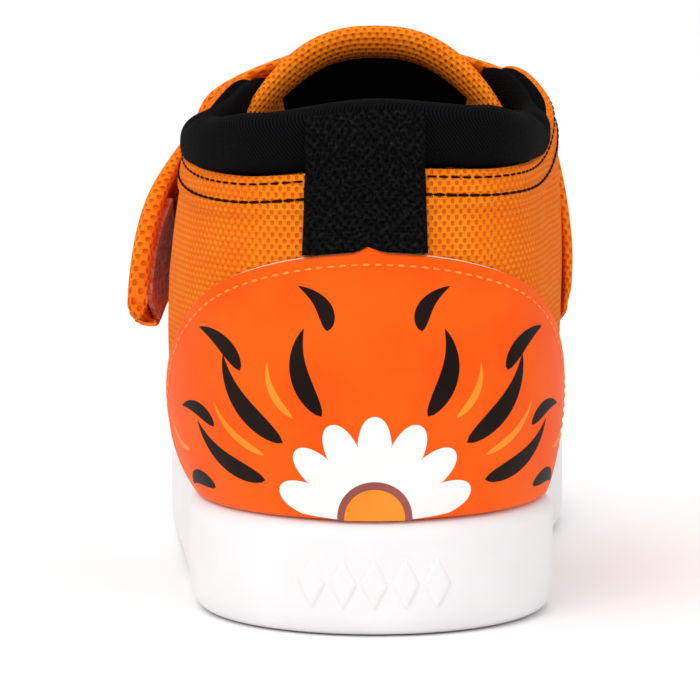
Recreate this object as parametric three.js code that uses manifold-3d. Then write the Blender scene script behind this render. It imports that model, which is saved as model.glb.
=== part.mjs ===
// Small child's high-top strap shoe with a white cup sole, for the left foot, as an assembly of separate pieces.
// Millimetres. +Y points to the toe, +X to the inner side of the foot, +Z up.
// The origin is on the floor, under the middle of the heel.

import * as THREE from "three";
import { mergeVertices } from "three/addons/utils/BufferGeometryUtils.js";
import Module from "manifold-3d";

const wasm = await Module();
wasm.setup();

// Driving sizes of the last and the cup sole
const soleLength = 152;
const heelWidth = 58;
const ballWidth = 66;
const toeSwing = 1.5; // how far the toe leans to the inner side
const lipHeight = 18.4; // top edge of the cup's wall at the heel, above the floor
const lipWall = 2.4; // from the widest part of the cup's wall in to its top edge
const heelFloor = 11.5; // top of the cup's floor under the heel
const ballFloor = 7.5; // and under the ball
const toeSpring = 5;
const archLift = 1.2;
const treadRound = 2.6; // rounding between the tread and the wall

// Driving sizes of the upper and what is sewn to it
const collarHeight = 84; // crest of the padded collar at the heel's back
const cornerHeight = 80; // front corners of the quarters
const vampHeight = 53.3; // lowest point of the throat
const upperWall = 2.4;
const bandWidth = 5.8; // doubled mesh along the top edge, held by two rows of stitches
const bandRise = 0.6;
const rollHeight = 10.6; // padded collar roll at the back
const rollThickness = 7.5;
const counterHeight = 42.5; // printed heel panel, above the cup's top edge
const counterReach = 50; // from the back's middle along the side
const counterWall = 1.2;
const counterPeak = 1.3; // small point in the middle of its top edge
const stripWidth = 20; // measured where the heel is widest
const stripWall = 1.5;
const stripAside = -1.4; // it sits a little to the outer side
const tongueHeight = 90;
const tongueWidth = 44;
const tongueWall = 4.6;
const strapWidth = 29;
const strapWall = 2.3;
const strapSlant = THREE.MathUtils.degToRad(30); // how far its run leans back from upright, seen from the side
const strapFlare = 3.6; // how far the strap's free end stands off at its rear corner
const padWall = 0.9; // hook pad and loop pad
const insoleWall = 4;
const grooveDepth = 1.3;
const grooveWidth = 2.2;
const groovePitch = 8;
const treadMargin = 6; // plain rim round the tread

const gap = 0.3; // between pieces that touch

const heelHalf = heelWidth / 2;
const ballHalf = ballWidth / 2;
const spineFront = 0.7 * soleLength;
const toeReach = soleLength - spineFront;
const heelCentre = heelHalf;

// Sections round the foot, from the heel's back to the toe's tip. Each stands on the last's spine, a line along the
// foot from the heel's centre to the toe's, and looks outwards, turned by so many degrees from straight back.
// A pair is the outer and the inner side of the foot. Lengths are shares of the named size in the same row.
//   reach: the cup's outline, as a share of half       lip: height of the cup's top edge, as a share of lipHeight
//   belly: how far out and up the wall's first handle goes      top: the upper's top edge
//   shoulder: how far out and down from the top edge the wall's second handle goes
const sections = [
  { at: "heel back", spine: heelCentre, turn: 0, half: heelHalf, tall: collarHeight, reach: [1, 1], lip: 0.98,
    belly: [0.155, 0.155], bellyUp: 0.165, across: [0, 0], along: 0.021, up: 0.869, shoulder: [0.12, 0.12], drop: 0.19 },
  { at: "heel corner", spine: heelCentre, turn: 45, half: heelHalf, tall: collarHeight, reach: [1.005, 0.995], lip: 0.99,
    belly: [0.2, 0.17], bellyUp: 0.14, across: [0.717, 0.66], along: 0.058, up: 0.851, shoulder: [0.12, 0.12], drop: 0.19 },
  { at: "heel side", spine: heelCentre, turn: 90, half: heelHalf, tall: collarHeight, reach: [1.014, 0.98], lip: 1,
    belly: [0.29, 0.17], bellyUp: 0.12, across: [1.02, 0.9], along: 0.19, up: 0.885, shoulder: [0.13, 0.12], drop: 0.2 },
  { at: "ankle", spine: 0.3 * soleLength, turn: 90, half: heelHalf, tall: collarHeight, reach: [1.045, 0.952], lip: 0.97,
    belly: [0.325, 0.19], bellyUp: 0.125, across: [0.885, 0.95], along: 0.3, up: 0.948, shoulder: [0.2, 0.15], drop: 0.155 },
  { at: "corner", spine: 0.395 * soleLength, turn: 90, half: ballHalf, tall: cornerHeight, reach: [0.964, 0.826], lip: 0.92,
    belly: [0.235, 0.16], bellyUp: 0.13, across: [0.615, 0.63], along: 0.408, up: [1.01, 1.035], shoulder: [0.366, 0.282], drop: 0.1 },
  { at: "instep", spine: 0.5 * soleLength, turn: 90, half: ballHalf, tall: cornerHeight, reach: [1.009, 0.86], lip: 0.86,
    belly: [0.215, 0.18], bellyUp: 0.13, across: [0.38, 0.355], along: 0.513, up: 0.865, shoulder: [0.45, 0.418], drop: 0.062 },
  { at: "ball", spine: 0.62 * soleLength, turn: 90, half: ballHalf, tall: vampHeight, reach: [1.055, 0.936], lip: 0.82,
    belly: [0.167, 0.162], bellyUp: 0.18, across: [0.298, 0.282], along: 0.608, up: 1.09, shoulder: [0.418, 0.387], drop: 0.07 },
  { at: "toe side", spine: spineFront, turn: 122, half: ballHalf, tall: vampHeight, reach: [1.097, 1.04], lip: 0.91,
    belly: [0.115, 0.115], bellyUp: 0.17, across: [0.162, 0.157], along: 0.648, up: 1.022, shoulder: [0.418, 0.397], drop: 0.056 },
  { at: "toe corner", spine: spineFront, turn: 152, half: toeReach, tall: vampHeight, reach: [0.91, 0.932], lip: 1.08,
    belly: [0.055, 0.055], bellyUp: 0.17, across: [0.052, 0.05], along: 0.657, up: 1.005, shoulder: [0.44, 0.44], drop: 0.085 },
  { at: "toe tip", spine: spineFront, turn: 180, half: toeReach, tall: vampHeight, reach: [1, 1], lip: 1.16,
    belly: [0.033, 0.033], bellyUp: 0.17, across: [0, 0], along: 0.658, up: 1, shoulder: [0.53, 0.53], drop: 0.094 },
];
const rowCount = sections.length - 1; // whole steps of u from the heel's back to the toe's tip
const stepsPerRow = 4;
const columns = 2 * rowCount * stepsPerRow;

const smooth = (x) => {
  const t = Math.min(1, Math.max(0, x));
  return t * t * (3 - 2 * t);
};
const mix = (a, b, t) => a + (b - a) * t;

// Puts a point of the straight last in its place: across, along from the heel's back, and up.
function place(across, along, up) {
  const swing = toeSwing * smooth((along / soleLength - 0.45) / 0.55);
  return new THREE.Vector3(across + swing, along - heelCentre, up);
}

// Height of the tread above the floor: flat under heel and ball, lifted at the arch and the toe.
function tread(along) {
  const s = along / soleLength;
  const arch = archLift * smooth((s - 0.3) / 0.12) * smooth((0.57 - s) / 0.12);
  return arch + toeSpring * Math.pow(Math.max(0, (s - 0.7) / 0.3), 1.8);
}

const floorAt = (along) => tread(along) + mix(heelFloor, ballFloor, smooth((along / soleLength - 0.25) / 0.35));

const onSide = (value, side) => (Array.isArray(value) ? value[side] : value);

// The numbers of one section on one side, in millimetres.
function sectionSizes(row, side) {
  const s = sections[row];
  const sign = side ? 1 : -1;
  return {
    spine: s.spine,
    turn: sign * THREE.MathUtils.degToRad(s.turn),
    reach: s.reach[side] * s.half,
    lip: s.lip * lipHeight,
    belly: s.belly[side] * s.half,
    bellyUp: s.bellyUp * s.tall,
    across: sign * s.across[side] * s.half,
    along: s.along * soleLength,
    up: onSide(s.up, side) * s.tall,
    shoulder: s.shoulder[side] * s.half,
    drop: s.drop * s.tall,
  };
}

// u runs from 0 at the heel's back to rowCount at the toe's tip, below zero on the outer side of the foot.
// Past the tip it comes back along the other side.
function knot(k) {
  const n = 2 * rowCount;
  const i = ((k % n) + n) % n;
  const sizes = i <= rowCount ? sectionSizes(i, 1) : sectionSizes(n - i, 0);
  sizes.turn += 2 * Math.PI * (i <= rowCount ? Math.floor(k / n) : Math.floor(k / n) + 1);
  return sizes;
}

function sectionAt(u) {
  const k = Math.floor(u);
  const t = u - k;
  const [a, b, c, d] = [knot(k - 1), knot(k), knot(k + 1), knot(k + 2)];
  const made = {};
  for (const name of Object.keys(b)) {
    const held = name === "spine" || name === "turn"; // these two never run back
    const level = held && b[name] === c[name];
    const slopeB = level || (held && a[name] === b[name]) ? 0 : (c[name] - a[name]) / 2;
    const slopeC = level || (held && c[name] === d[name]) ? 0 : (d[name] - b[name]) / 2;
    made[name] =
      (2 * t ** 3 - 3 * t ** 2 + 1) * b[name] + (t ** 3 - 2 * t ** 2 + t) * slopeB +
      (3 * t ** 2 - 2 * t ** 3) * c[name] + (t ** 3 - t ** 2) * slopeC;
  }
  return made;
}

// A point of a section at a distance from the spine, at a height.
function reachPoint(section, reach, up) {
  const across = Math.sin(section.turn) * reach;
  const along = section.spine - Math.cos(section.turn) * reach;
  return place(across, along, typeof up === "function" ? up(along) : up);
}

const skinEdge = (section) => section.reach - lipWall - gap;

// The upper's outer skin at u: a curve from the cup's top edge to the upper's own top edge.
const curveMemo = new Map();
function skinCurve(u) {
  const key = u.toFixed(5);
  if (curveMemo.has(key)) return curveMemo.get(key);
  const s = sectionAt(u);
  const foot = reachPoint(s, skinEdge(s), s.lip);
  const out = new THREE.Vector3(Math.sin(s.turn), -Math.cos(s.turn), 0);
  const belly = foot.clone().addScaledVector(out, s.belly).add(new THREE.Vector3(0, 0, s.bellyUp));
  const top = place(s.across, s.along, s.up);
  const lean = new THREE.Vector3(foot.x - top.x, foot.y - top.y, 0).normalize();
  if (Math.abs(Math.abs(s.turn) - Math.PI) > 1.2) lean.copy(out);
  const shoulder = top.clone().addScaledVector(lean, s.shoulder).add(new THREE.Vector3(0, 0, -s.drop));
  const bezier = new THREE.CubicBezierCurve3(foot, belly, shoulder, top);
  bezier.arcLengthDivisions = 60;
  curveMemo.set(key, bezier);
  return bezier;
}

// A point of the skin, moved out along its normal. share goes from 0 at the cup's edge to 1 at the top edge.
function skinPoint(u, share, out = 0) {
  const curve = skinCurve(u);
  const at = curve.getPointAt(Math.min(1, Math.max(0, share)));
  if (share > 1) at.addScaledVector(curve.getTangentAt(1), (share - 1) * curve.getLength());
  if (!out) return at;
  const on = Math.min(1, share);
  const rise = curve.getTangentAt(Math.max(0, on));
  const round = skinCurve(u + 0.02).getPointAt(on).sub(skinCurve(u - 0.02).getPointAt(on));
  return at.addScaledVector(round.cross(rise).normalize(), out);
}

const shareBelowTop = (u, distance) => 1 - distance / skinCurve(u).getLength();

// The share at which the skin at u reaches a height.
function shareAtHeight(u, height) {
  let [low, high] = [0, 1];
  for (let i = 0; i < 24; i += 1) {
    const middle = (low + high) / 2;
    if (skinPoint(u, middle).z < height) low = middle;
    else high = middle;
  }
  return (low + high) / 2;
}

// u at a distance along the skin from the heel's back, below zero on the outer side.
const walkShare = 0.35;
function uAtDistance(distance) {
  const sign = Math.sign(distance) || 1;
  const step = 0.02;
  let [u, walked] = [0, 0];
  while (walked < Math.abs(distance)) {
    const piece = skinPoint(sign * (u + step), walkShare).distanceTo(skinPoint(sign * u, walkShare));
    if (walked + piece >= Math.abs(distance)) return sign * (u + (step * (Math.abs(distance) - walked)) / piece);
    walked += piece;
    u += step;
  }
  return sign * u;
}

// The side's point at a share of the skin's height that lies in one of the strap's cross planes.
// A plane's place is its distance along strapWay, a direction in the shoe's side view.
const strapWay = new THREE.Vector3(0, Math.cos(strapSlant), -Math.sin(strapSlant));
function uAtPlane(place, side, share) {
  const sign = side ? 1 : -1;
  let [low, high] = [1, rowCount - 1.5];
  for (let i = 0; i < 24; i += 1) {
    const middle = (low + high) / 2;
    if (skinPoint(sign * middle, share).dot(strapWay) < place) low = middle;
    else high = middle;
  }
  return (sign * (low + high)) / 2;
}

// Turns lists of points into one closed mesh. Each list is a ring or a row of equal length.
function quads(rows, wrapRows, wrapColumns) {
  const [m, n] = [rows.length, rows[0].length];
  const index = [];
  for (let i = 0; i < (wrapRows ? m : m - 1); i += 1)
    for (let j = 0; j < (wrapColumns ? n : n - 1); j += 1) {
      const [a, b] = [i * n + j, i * n + ((j + 1) % n)];
      const [c, d] = [((i + 1) % m) * n + j, ((i + 1) % m) * n + ((j + 1) % n)];
      index.push(a, b, d, a, d, c);
    }
  return index;
}

function fan(ringStart, count, flip) {
  const index = [];
  for (let j = 1; j < count - 1; j += 1)
    index.push(ringStart, ringStart + (flip ? j + 1 : j), ringStart + (flip ? j : j + 1));
  return index;
}

function closedGeometry(rows, index) {
  const raw = new THREE.BufferGeometry();
  raw.setAttribute("position", new THREE.BufferAttribute(new Float32Array(rows.flat().flatMap((p) => p.toArray())), 3));
  raw.setIndex(index);
  const merged = mergeVertices(raw, 1e-3);
  const kept = [];
  const old = merged.index.array;
  for (let i = 0; i < old.length; i += 3) {
    const [a, b, c] = [old[i], old[i + 1], old[i + 2]];
    if (a !== b && b !== c && c !== a) kept.push(a, b, c);
  }
  merged.setIndex(kept);
  return merged;
}

// Rings that close round the foot, the first and the last joined: a wall, or a body whose ends lie on the spine.
const ringSolid = (rings, joined) => closedGeometry(rings, quads(rings, joined, true));

// A bent plate: the outer face's rows, then the inner face's rows in the other order.
function plateSolid(outer, inner) {
  const rows = [...outer, ...[...inner].reverse()];
  const index = quads(rows, true, false);
  const n = rows[0].length;
  const m = outer.length;
  for (let i = 0; i < m - 1; i += 1)
    for (const j of [0, n - 1]) {
      const [a, b] = [i * n + j, (i + 1) * n + j];
      const [c, d] = [(2 * m - 1 - i) * n + j, (2 * m - 2 - i) * n + j];
      if (j === 0) index.push(a, b, d, a, d, c);
      else index.push(a, d, b, a, c, d);
    }
  return closedGeometry(rows, index);
}

// Closed sections one after another, with flat ends.
function sweepSolid(rings) {
  const n = rings[0].length;
  const index = quads(rings, false, true);
  return closedGeometry(rings, [...index, ...fan(0, n, true), ...fan((rings.length - 1) * n, n, false)]);
}

function toSolid(geometry) {
  const bare = new THREE.BufferGeometry();
  bare.setAttribute("position", geometry.getAttribute("position"));
  if (geometry.index) bare.setIndex(geometry.index);
  const merged = mergeVertices(bare, 1e-3);
  const triVerts = new Uint32Array(merged.index.array);
  const make = () =>
    new wasm.Manifold(new wasm.Mesh({ numProp: 3, vertProperties: merged.attributes.position.array, triVerts }));
  const made = make();
  if (made.volume() > 0) return made;
  for (let i = 0; i < triVerts.length; i += 3) [triVerts[i + 1], triVerts[i + 2]] = [triVerts[i + 2], triVerts[i + 1]];
  return make();
}

function toGeometry(solid) {
  const mesh = solid.getMesh();
  const points = new Float32Array(mesh.numVert * 3);
  for (let i = 0; i < mesh.numVert; i += 1)
    points.set(mesh.vertProperties.subarray(i * mesh.numProp, i * mesh.numProp + 3), i * 3);
  const geometry = new THREE.BufferGeometry();
  geometry.setAttribute("position", new THREE.BufferAttribute(points, 3));
  geometry.setIndex(new THREE.BufferAttribute(new Uint32Array(mesh.triVerts), 1));
  return geometry;
}

const count = (n) => [...Array(n).keys()];
const columnU = count(columns).map((i) => i / stepsPerRow - rowCount);

// Cup sole: from the tread's middle out, up the wall, over the lip, down inside and in along the cup's floor.
function cupSole() {
  const wall = [
    { inset: treadRound, up: 0 },
    { inset: treadRound * 0.42, up: 0.7 },
    { inset: treadRound * 0.12, up: 2.4 },
  ];
  const side = [
    { inset: 0, share: 0.32 },
    { inset: 0, share: 0.62 },
    { inset: lipWall * 0.17, share: 0.82 },
    { inset: lipWall * 0.5, share: 0.95 },
    { inset: lipWall * 0.82, share: 1 },
  ];
  const each = (ring) => columnU.map((u) => ring(sectionAt(u)));
  const rings = [
    ...[0, 0.4, 0.72].map((share) => each((s) => reachPoint(s, (s.reach - treadRound) * share, tread))),
    ...wall.map((k) => each((s) => reachPoint(s, s.reach - k.inset, (along) => tread(along) + k.up))),
    ...side.map((k) => each((s) => reachPoint(s, s.reach - k.inset, (along) => mix(tread(along), s.lip, k.share)))),
    each((s) => reachPoint(s, s.reach - lipWall, s.lip)),
    ...[1, 0.6, 0].map((share) => each((s) => reachPoint(s, (s.reach - lipWall) * share, floorAt))),
  ];
  return toSolid(ringSolid(rings, false)).subtract(treadGrooves());
}

// Width limits of the tread at a station along the foot, inside its plain rim.
function treadLimits(along) {
  const limits = [0, 0];
  for (const u of count(rowCount * 12).map((i) => i / 12)) {
    for (const side of [0, 1]) {
      const s = sectionAt(side ? u : -u);
      const a = reachPoint(s, s.reach - treadMargin, 0);
      if (Math.abs(a.y + heelCentre - along) < soleLength / 40) limits[side] = Math.max(limits[side], Math.abs(a.x));
    }
  }
  return limits;
}

// V-shaped grooves across the tread, one pitch apart, which leave lugs between them.
function treadGrooves() {
  const bars = [];
  const first = treadMargin + groovePitch / 2;
  const reachForward = 0.25;
  for (let along = first; along < soleLength - first; along += groovePitch) {
    const middle = treadLimits(along);
    const ends = treadLimits(along - reachForward * Math.max(...middle)); // the bars slant back
    for (const [sign, side] of [[-1, 0], [1, 1]]) {
      const width = Math.min(middle[side], ends[side]);
      const deep = tread(along - reachForward * width) + grooveDepth;
      const bar = new THREE.BoxGeometry(width * 1.03, grooveWidth, 2 * deep);
      bar.translate((sign * width) / 2, 0, 0);
      bar.rotateZ(-sign * reachForward);
      const at = place(0, along, 0);
      bars.push(toSolid(bar.translate(at.x, at.y, 0)));
    }
  }
  return wasm.Manifold.union(bars);
}

// Footbed: lies on the cup's floor inside the upper's wall.
function insole() {
  const inset = lipWall + gap + upperWall + gap;
  const each = (ring) => columnU.map((u) => ring(sectionAt(u)));
  const layer = (share, more, lift) =>
    each((s) => reachPoint(s, (s.reach - inset - more) * share, (along) => floorAt(along) + gap + lift));
  return ringSolid(
    [layer(0, 0, 0), layer(0.6, 0, 0), layer(1, 0, 0), layer(1, 0, insoleWall - 1), layer(1, 1.2, insoleWall),
      layer(0.6, 0, insoleWall), layer(0, 0, insoleWall)],
    false,
  );
}

// The upper's wall between two offsets from its skin. The bottom margin stands in the cup.
const bodyShares = [0, 0.07, 0.17, 0.29, 0.42, 0.55, 0.68, 0.8, 0.91];
function upperShell(outside, inside, above = 0) {
  const rings = [];
  const ring = (make) => rings.push(columnU.map((u) => make(u)));
  const margin = (out) => ring((u) => {
    const s = sectionAt(u);
    return reachPoint(s, skinEdge(s) + out, (along) => floorAt(along) + gap);
  });
  const body = (out, shares) => shares.forEach((k) => ring((u) => skinPoint(u, k * shareBelowTop(u, bandWidth + 1), out)));
  const edge = (out, distance) => ring((u) => skinPoint(u, shareBelowTop(u, distance), out));
  margin(outside);
  body(outside, bodyShares);
  edge(outside, bandWidth + 0.6);
  edge(outside + bandRise, bandWidth);
  edge(outside + bandRise, bandWidth * 0.4);
  edge(outside + bandRise * 0.4, -above);
  edge(inside, -above);
  edge(inside, bandWidth * 0.4);
  edge(inside, bandWidth);
  body(inside, bodyShares.filter((_, i) => i % 2 === 0).reverse());
  margin(inside);
  return ringSolid(rings, true);
}

// Padded collar: an oval roll on the upper's top edge. Towards the quarters' front corners it slips inside the edge.
const rollEnd = 4; // in steps of u, at the corner section
const rollColumns = 36;
const rollShares = [0.97, 0.93, 0.54, 0.5, 0.34, 0.3]; // of rollHeight, at each section from the back
const rollThick = [1, 1, 0.87, 0.5, 0.24, 0.2]; // of rollThickness
const rollSag = [0, 0.5, 1.9, 0.4, 0, 0]; // how far it hangs over the edge, and how far out
const rollBulge = [0, 0.1, 0.5, 0.1, 0, 0];
const rollInside = [0, 0, 0.05, 0.85, 1, 1]; // how far it has slipped inside
function shareAt(list, u) {
  const k = Math.min(list.length - 2, Math.floor(Math.abs(u)));
  return mix(list[k], list[k + 1], smooth(Math.abs(u) - k));
}
function rollFrame(u) {
  const top = skinPoint(u, 1);
  const round = skinPoint(u + 0.05, 1).sub(skinPoint(u - 0.05, 1)).setZ(0).normalize();
  const out = new THREE.Vector3(round.y, -round.x, 0);
  const height = rollHeight * shareAt(rollShares, u);
  const thick = rollThickness * shareAt(rollThick, u);
  const inside = shareAt(rollInside, u);
  const aside = mix(bandRise + 0.4, -upperWall - gap, inside) - thick / 2 + shareAt(rollBulge, u);
  const above = mix(gap + height / 2, -height * 0.7, inside) - shareAt(rollSag, u);
  const centre = top.addScaledVector(out, aside).add(new THREE.Vector3(0, 0, above));
  return { centre, out, height, thick };
}
function rollPoint(u, angle, proud = 0) {
  const { centre, out, height, thick } = rollFrame(u);
  const full = (x) => Math.sign(x) * Math.pow(Math.abs(x), 0.8);
  return centre
    .addScaledVector(out, (thick / 2 + proud) * full(Math.cos(angle)))
    .add(new THREE.Vector3(0, 0, (height / 2 + proud) * full(Math.sin(angle))));
}
function roll(proud = 0) {
  const around = 12;
  const rings = count(rollColumns + 1).map((i) => {
    const u = mix(-rollEnd, rollEnd, i / rollColumns);
    return count(around).map((j) => rollPoint(u, (2 * Math.PI * j) / around, proud));
  });
  return toSolid(sweepSolid(rings));
}
const collar = () => roll().subtract(toSolid(upperShell(gap, -upperWall - gap, gap)));

// Printed heel panel: half an oval on the skin round the heel, with a small point in its top edge.
const counterColumns = 32;
const counterRows = 6;
function counterTop(distance, lip) {
  const share = Math.min(1, Math.abs(distance) / counterReach);
  const point = counterPeak * Math.max(0, 1 - Math.abs(distance) / (counterPeak * 1.6));
  return lip + counterHeight * Math.sqrt(1 - share * share) + point;
}
function heelPanel() {
  const last = 0.995;
  const face = (out) =>
    count(counterColumns + 1).map((i) => {
      const turn = mix(-1, 1, i / counterColumns);
      const distance = counterReach * last * Math.sin((turn * Math.PI) / 2);
      const u = uAtDistance(distance);
      const lip = sectionAt(u).lip;
      const low = shareAtHeight(u, lip + 2 * gap);
      const high = shareAtHeight(u, counterTop(distance, lip));
      return count(counterRows + 1).map((j) => skinPoint(u, mix(low, high, j / counterRows), out));
    });
  return plateSolid(face(gap + counterWall), face(gap));
}

// Pull strip: lies up the heel's middle from the panel's top edge and over the collar.
function pullStrip() {
  const across = 8;
  const face = (out) =>
    count(across + 1).map((i) => {
      const distance = stripAside + mix(-stripWidth / 2, stripWidth / 2, i / across);
      const u = uAtDistance(distance);
      const low = shareAtHeight(u, counterTop(distance, sectionAt(u).lip) + 3 * gap);
      const high = shareBelowTop(u, 2);
      const seat = gap + bandRise; // clears the doubled band
      return [
        ...[0, 0.3, 0.6].map((k) => skinPoint(u, mix(low, high, k), gap + out)),
        skinPoint(u, high, seat + out),
        ...[-0.22, -0.08, 0.06, 0.17].map((k) => rollPoint(u, k * Math.PI, gap + out)),
      ];
    });
  const under = toSolid(upperShell(gap, -upperWall, gap)).add(roll(gap));
  return toSolid(plateSolid(face(stripWall), face(0))).subtract(under);
}

// Tongue: a padded arch that rises under the throat. Each row is one section of it, from the vamp to the top edge.
//   along, up: middle of its outer face    half: half width    crown: fall from the middle to its edges
//   wrap: how far its edges lie behind its middle
// The last four are shares of tongueWidth.
const tongueRows = [
  { along: 0.71, up: 0.511 * tongueHeight, half: 0.3, crown: 0.05, wrap: 0, thick: 0.6 },
  { along: 0.665, up: 0.546 * tongueHeight, half: 0.33, crown: 0.07, wrap: 0, thick: 0.65 },
  { along: 0.625, up: 0.59 * tongueHeight, half: 0.36, crown: 0.11, wrap: 0, thick: 0.7 },
  { along: 0.58, up: 0.667 * tongueHeight, half: 0.385, crown: 0.14, wrap: 0.02, thick: 0.8 },
  { along: 0.525, up: 0.745 * tongueHeight, half: 0.41, crown: 0.18, wrap: 0.06, thick: 0.9 },
  { along: 0.465, up: 0.867 * tongueHeight, half: 0.45, crown: 0.24, wrap: 0.12, thick: 1 },
  { along: 0.415, up: 0.96 * tongueHeight, half: 0.485, crown: 0.29, wrap: 0.18, thick: 1 },
  { along: 0.385, up: 1.008 * tongueHeight, half: 0.5, crown: 0.31, wrap: 0.2, thick: 1 },
];
const tongueColumns = 14;
function tonguePoint(row, share, out) {
  const side = share * 2 - 1;
  const edge = Math.pow(Math.abs(side), 2.7);
  const across = side * row.half * tongueWidth;
  const along = row.along * soleLength - row.wrap * tongueWidth * edge;
  const up = row.up - row.crown * tongueWidth * edge;
  const lean = new THREE.Vector3(1.1 * side, 0.62, 0.8).normalize();
  return place(across, along, up).addScaledVector(lean, out);
}
function tonguePad(proud = 0) {
  const face = (side) =>
    tongueRows.map((row, i) => {
      const round = i === tongueRows.length - 1 ? 0.28 : 0;
      const depth = tongueWall * row.thick;
      const out = side ? -depth * (1 - round) - proud : -depth * round + proud;
      return count(tongueColumns + 1).map((j) => tonguePoint(row, j / tongueColumns, out));
    });
  return toSolid(plateSolid(face(0), face(1)));
}
const tongue = () => tonguePad().subtract(toSolid(upperShell(gap, -upperWall - gap, gap)).add(roll(gap)));

// The tongue's outer face at a share of its width, in one of the strap's cross planes.
function tongueAtPlane(distance, share, out) {
  const last = tongueRows.length - 1;
  const at = (k) => {
    const i = Math.min(last - 1, Math.floor(k));
    const names = Object.keys(tongueRows[0]);
    return Object.fromEntries(names.map((n) => [n, mix(tongueRows[i][n], tongueRows[i + 1][n], k - i)]));
  };
  let [low, high] = [0, last];
  for (let i = 0; i < 24; i += 1) {
    const middle = (low + high) / 2;
    if (tonguePoint(at(middle), share, 0).dot(strapWay) > distance) low = middle;
    else high = middle;
  }
  return tonguePoint(at((low + high) / 2), share, out);
}

// Strap: sewn to the inner quarter, over the tongue and down the outer quarter, where its free end stands off a little.
// Each row is a place along the strap.
//   share: of the skin's height on that side, or of the tongue's width in the middle
//   half: half width, as a share of strapWidth    lift: how far it stands off, as a share of strapFlare
const strapRows = [
  { on: "inner", share: 0.41, half: 0.47, lift: 0 },
  { on: "inner", share: 0.45, half: 0.5, lift: 0 },
  { on: "inner", share: 0.56, half: 0.5, lift: 0 },
  { on: "inner", share: 0.68, half: 0.5, lift: 0 },
  { on: "inner", share: 0.81, half: 0.5, lift: 0.04 },
  { on: "inner", share: 0.92, half: 0.5, lift: 0.25 },
  { on: "tongue", share: 0.72, half: 0.5, lift: 0.3 },
  { on: "tongue", share: 0.5, half: 0.5, lift: 0.25 },
  { on: "tongue", share: 0.28, half: 0.5, lift: 0.3 },
  { on: "outer", share: 0.92, half: 0.5, lift: 0.25 },
  { on: "outer", share: 0.81, half: 0.5, lift: 0.2 },
  { on: "outer", share: 0.71, half: 0.5, lift: 0.5 },
  { on: "outer", share: 0.6, half: 0.49, lift: 0.95 },
  { on: "outer", share: 0.5, half: 0.45, lift: 1.25 },
  { on: "outer", share: 0.43, half: 0.34, lift: 1.3 },
  { on: "outer", share: 0.385, half: 0.16, lift: 1.3 },
];
const strapSkew = 0.22; // change of share over the strap's width that squares its ends to its run
const strapMiddle = place(0, 0.522 * soleLength, cornerHeight).dot(strapWay);
function strapPoint(row, across, out) {
  const distance = strapMiddle + across * row.half * strapWidth;
  const away = gap + 0.1 + row.lift * strapFlare * (across < 0 ? 1 : 1 - 0.3 * across) + out;
  if (row.on === "tongue") return tongueAtPlane(distance, row.share, away + 1);
  const squared = strapSkew * (row.on === "inner" ? 0.5 : 1) * smooth((0.93 - row.share) / 0.4);
  const share = row.share - across * row.half * squared;
  return skinPoint(uAtPlane(distance, row.on === "inner" ? 1 : 0, share), share, away);
}

// A patch of the strap's run between two rows, with its outer and inner face at distances from the strap's inner face.
function strapPatch(from, to, width, outer, inner) {
  const [across, steps] = [6, Math.round((to - from) * 2.2)];
  const face = (out) =>
    count(across + 1).map((i) => {
      const points = strapRows.map((row) => strapPoint(row, width * mix(-1, 1, i / across), out));
      const line = new THREE.CatmullRomCurve3(points, false, "centripetal");
      return count(steps + 1).map((j) => line.getPoint(mix(from, to, j / steps) / (strapRows.length - 1)));
    });
  return toSolid(plateSolid(face(outer), face(inner)));
}
function strap() {
  const others = [toSolid(upperShell(gap, -upperWall - gap, gap)), roll(gap), tonguePad(gap)];
  return strapPatch(0, strapRows.length - 1, 1, strapWall, 0).subtract(wasm.Manifold.union(others));
}
const hookPad = () => strapPatch(12, 14.3, 0.7, -1.5 * gap, -1.5 * gap - padWall);

// Loop pad: sewn flat on the outer quarter under the strap's free end.
function loopPad() {
  const [across, steps] = [4, 8];
  const face = (out) =>
    count(across + 1).map((i) =>
      count(steps + 1).map((j) => {
        const side = mix(-0.33, 0.33, i / across);
        const share = mix(0.45, 0.63, j / steps) - side * strapSkew;
        const distance = strapMiddle + side * strapWidth;
        return skinPoint(uAtPlane(distance, 0, share), share, gap + out);
      }),
    );
  return toSolid(plateSolid(face(padWall), face(0)));
}

// A mesh of one piece with its own finish.
function piece(name, shape, finish) {
  const geometry = shape instanceof THREE.BufferGeometry ? toGeometry(toSolid(shape)) : toGeometry(shape);
  const mesh = new THREE.Mesh(geometry, new THREE.MeshStandardMaterial({ metalness: 0, ...finish }));
  mesh.name = name;
  return mesh;
}

const whiteRubber = { color: 0xf4f3f3, roughness: 0.55 };
const orangeMesh = { color: 0xfa7f17, roughness: 0.85 };
const blackKnit = { color: 0x101011, roughness: 0.95 };
const orangeLeather = { color: 0xfb5f10, roughness: 0.45 };

const shoe = new THREE.Group();
shoe.add(
  piece("cup_sole", cupSole(), whiteRubber),
  piece("insole", insole(), blackKnit),
  piece("upper", upperShell(0, -upperWall), orangeMesh),
  piece("collar", collar(), blackKnit),
  piece("heel_panel", heelPanel(), orangeLeather),
  piece("pull_strip", pullStrip(), blackKnit),
  piece("tongue", tongue(), orangeMesh),
  piece("strap", strap(), orangeMesh),
  piece("hook_pad", hookPad(), { color: 0xb8402a, roughness: 0.95 }),
  piece("loop_pad", loopPad(), { color: 0xc9622f, roughness: 0.95 }),
);

export default shoe;
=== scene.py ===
import math

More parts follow.
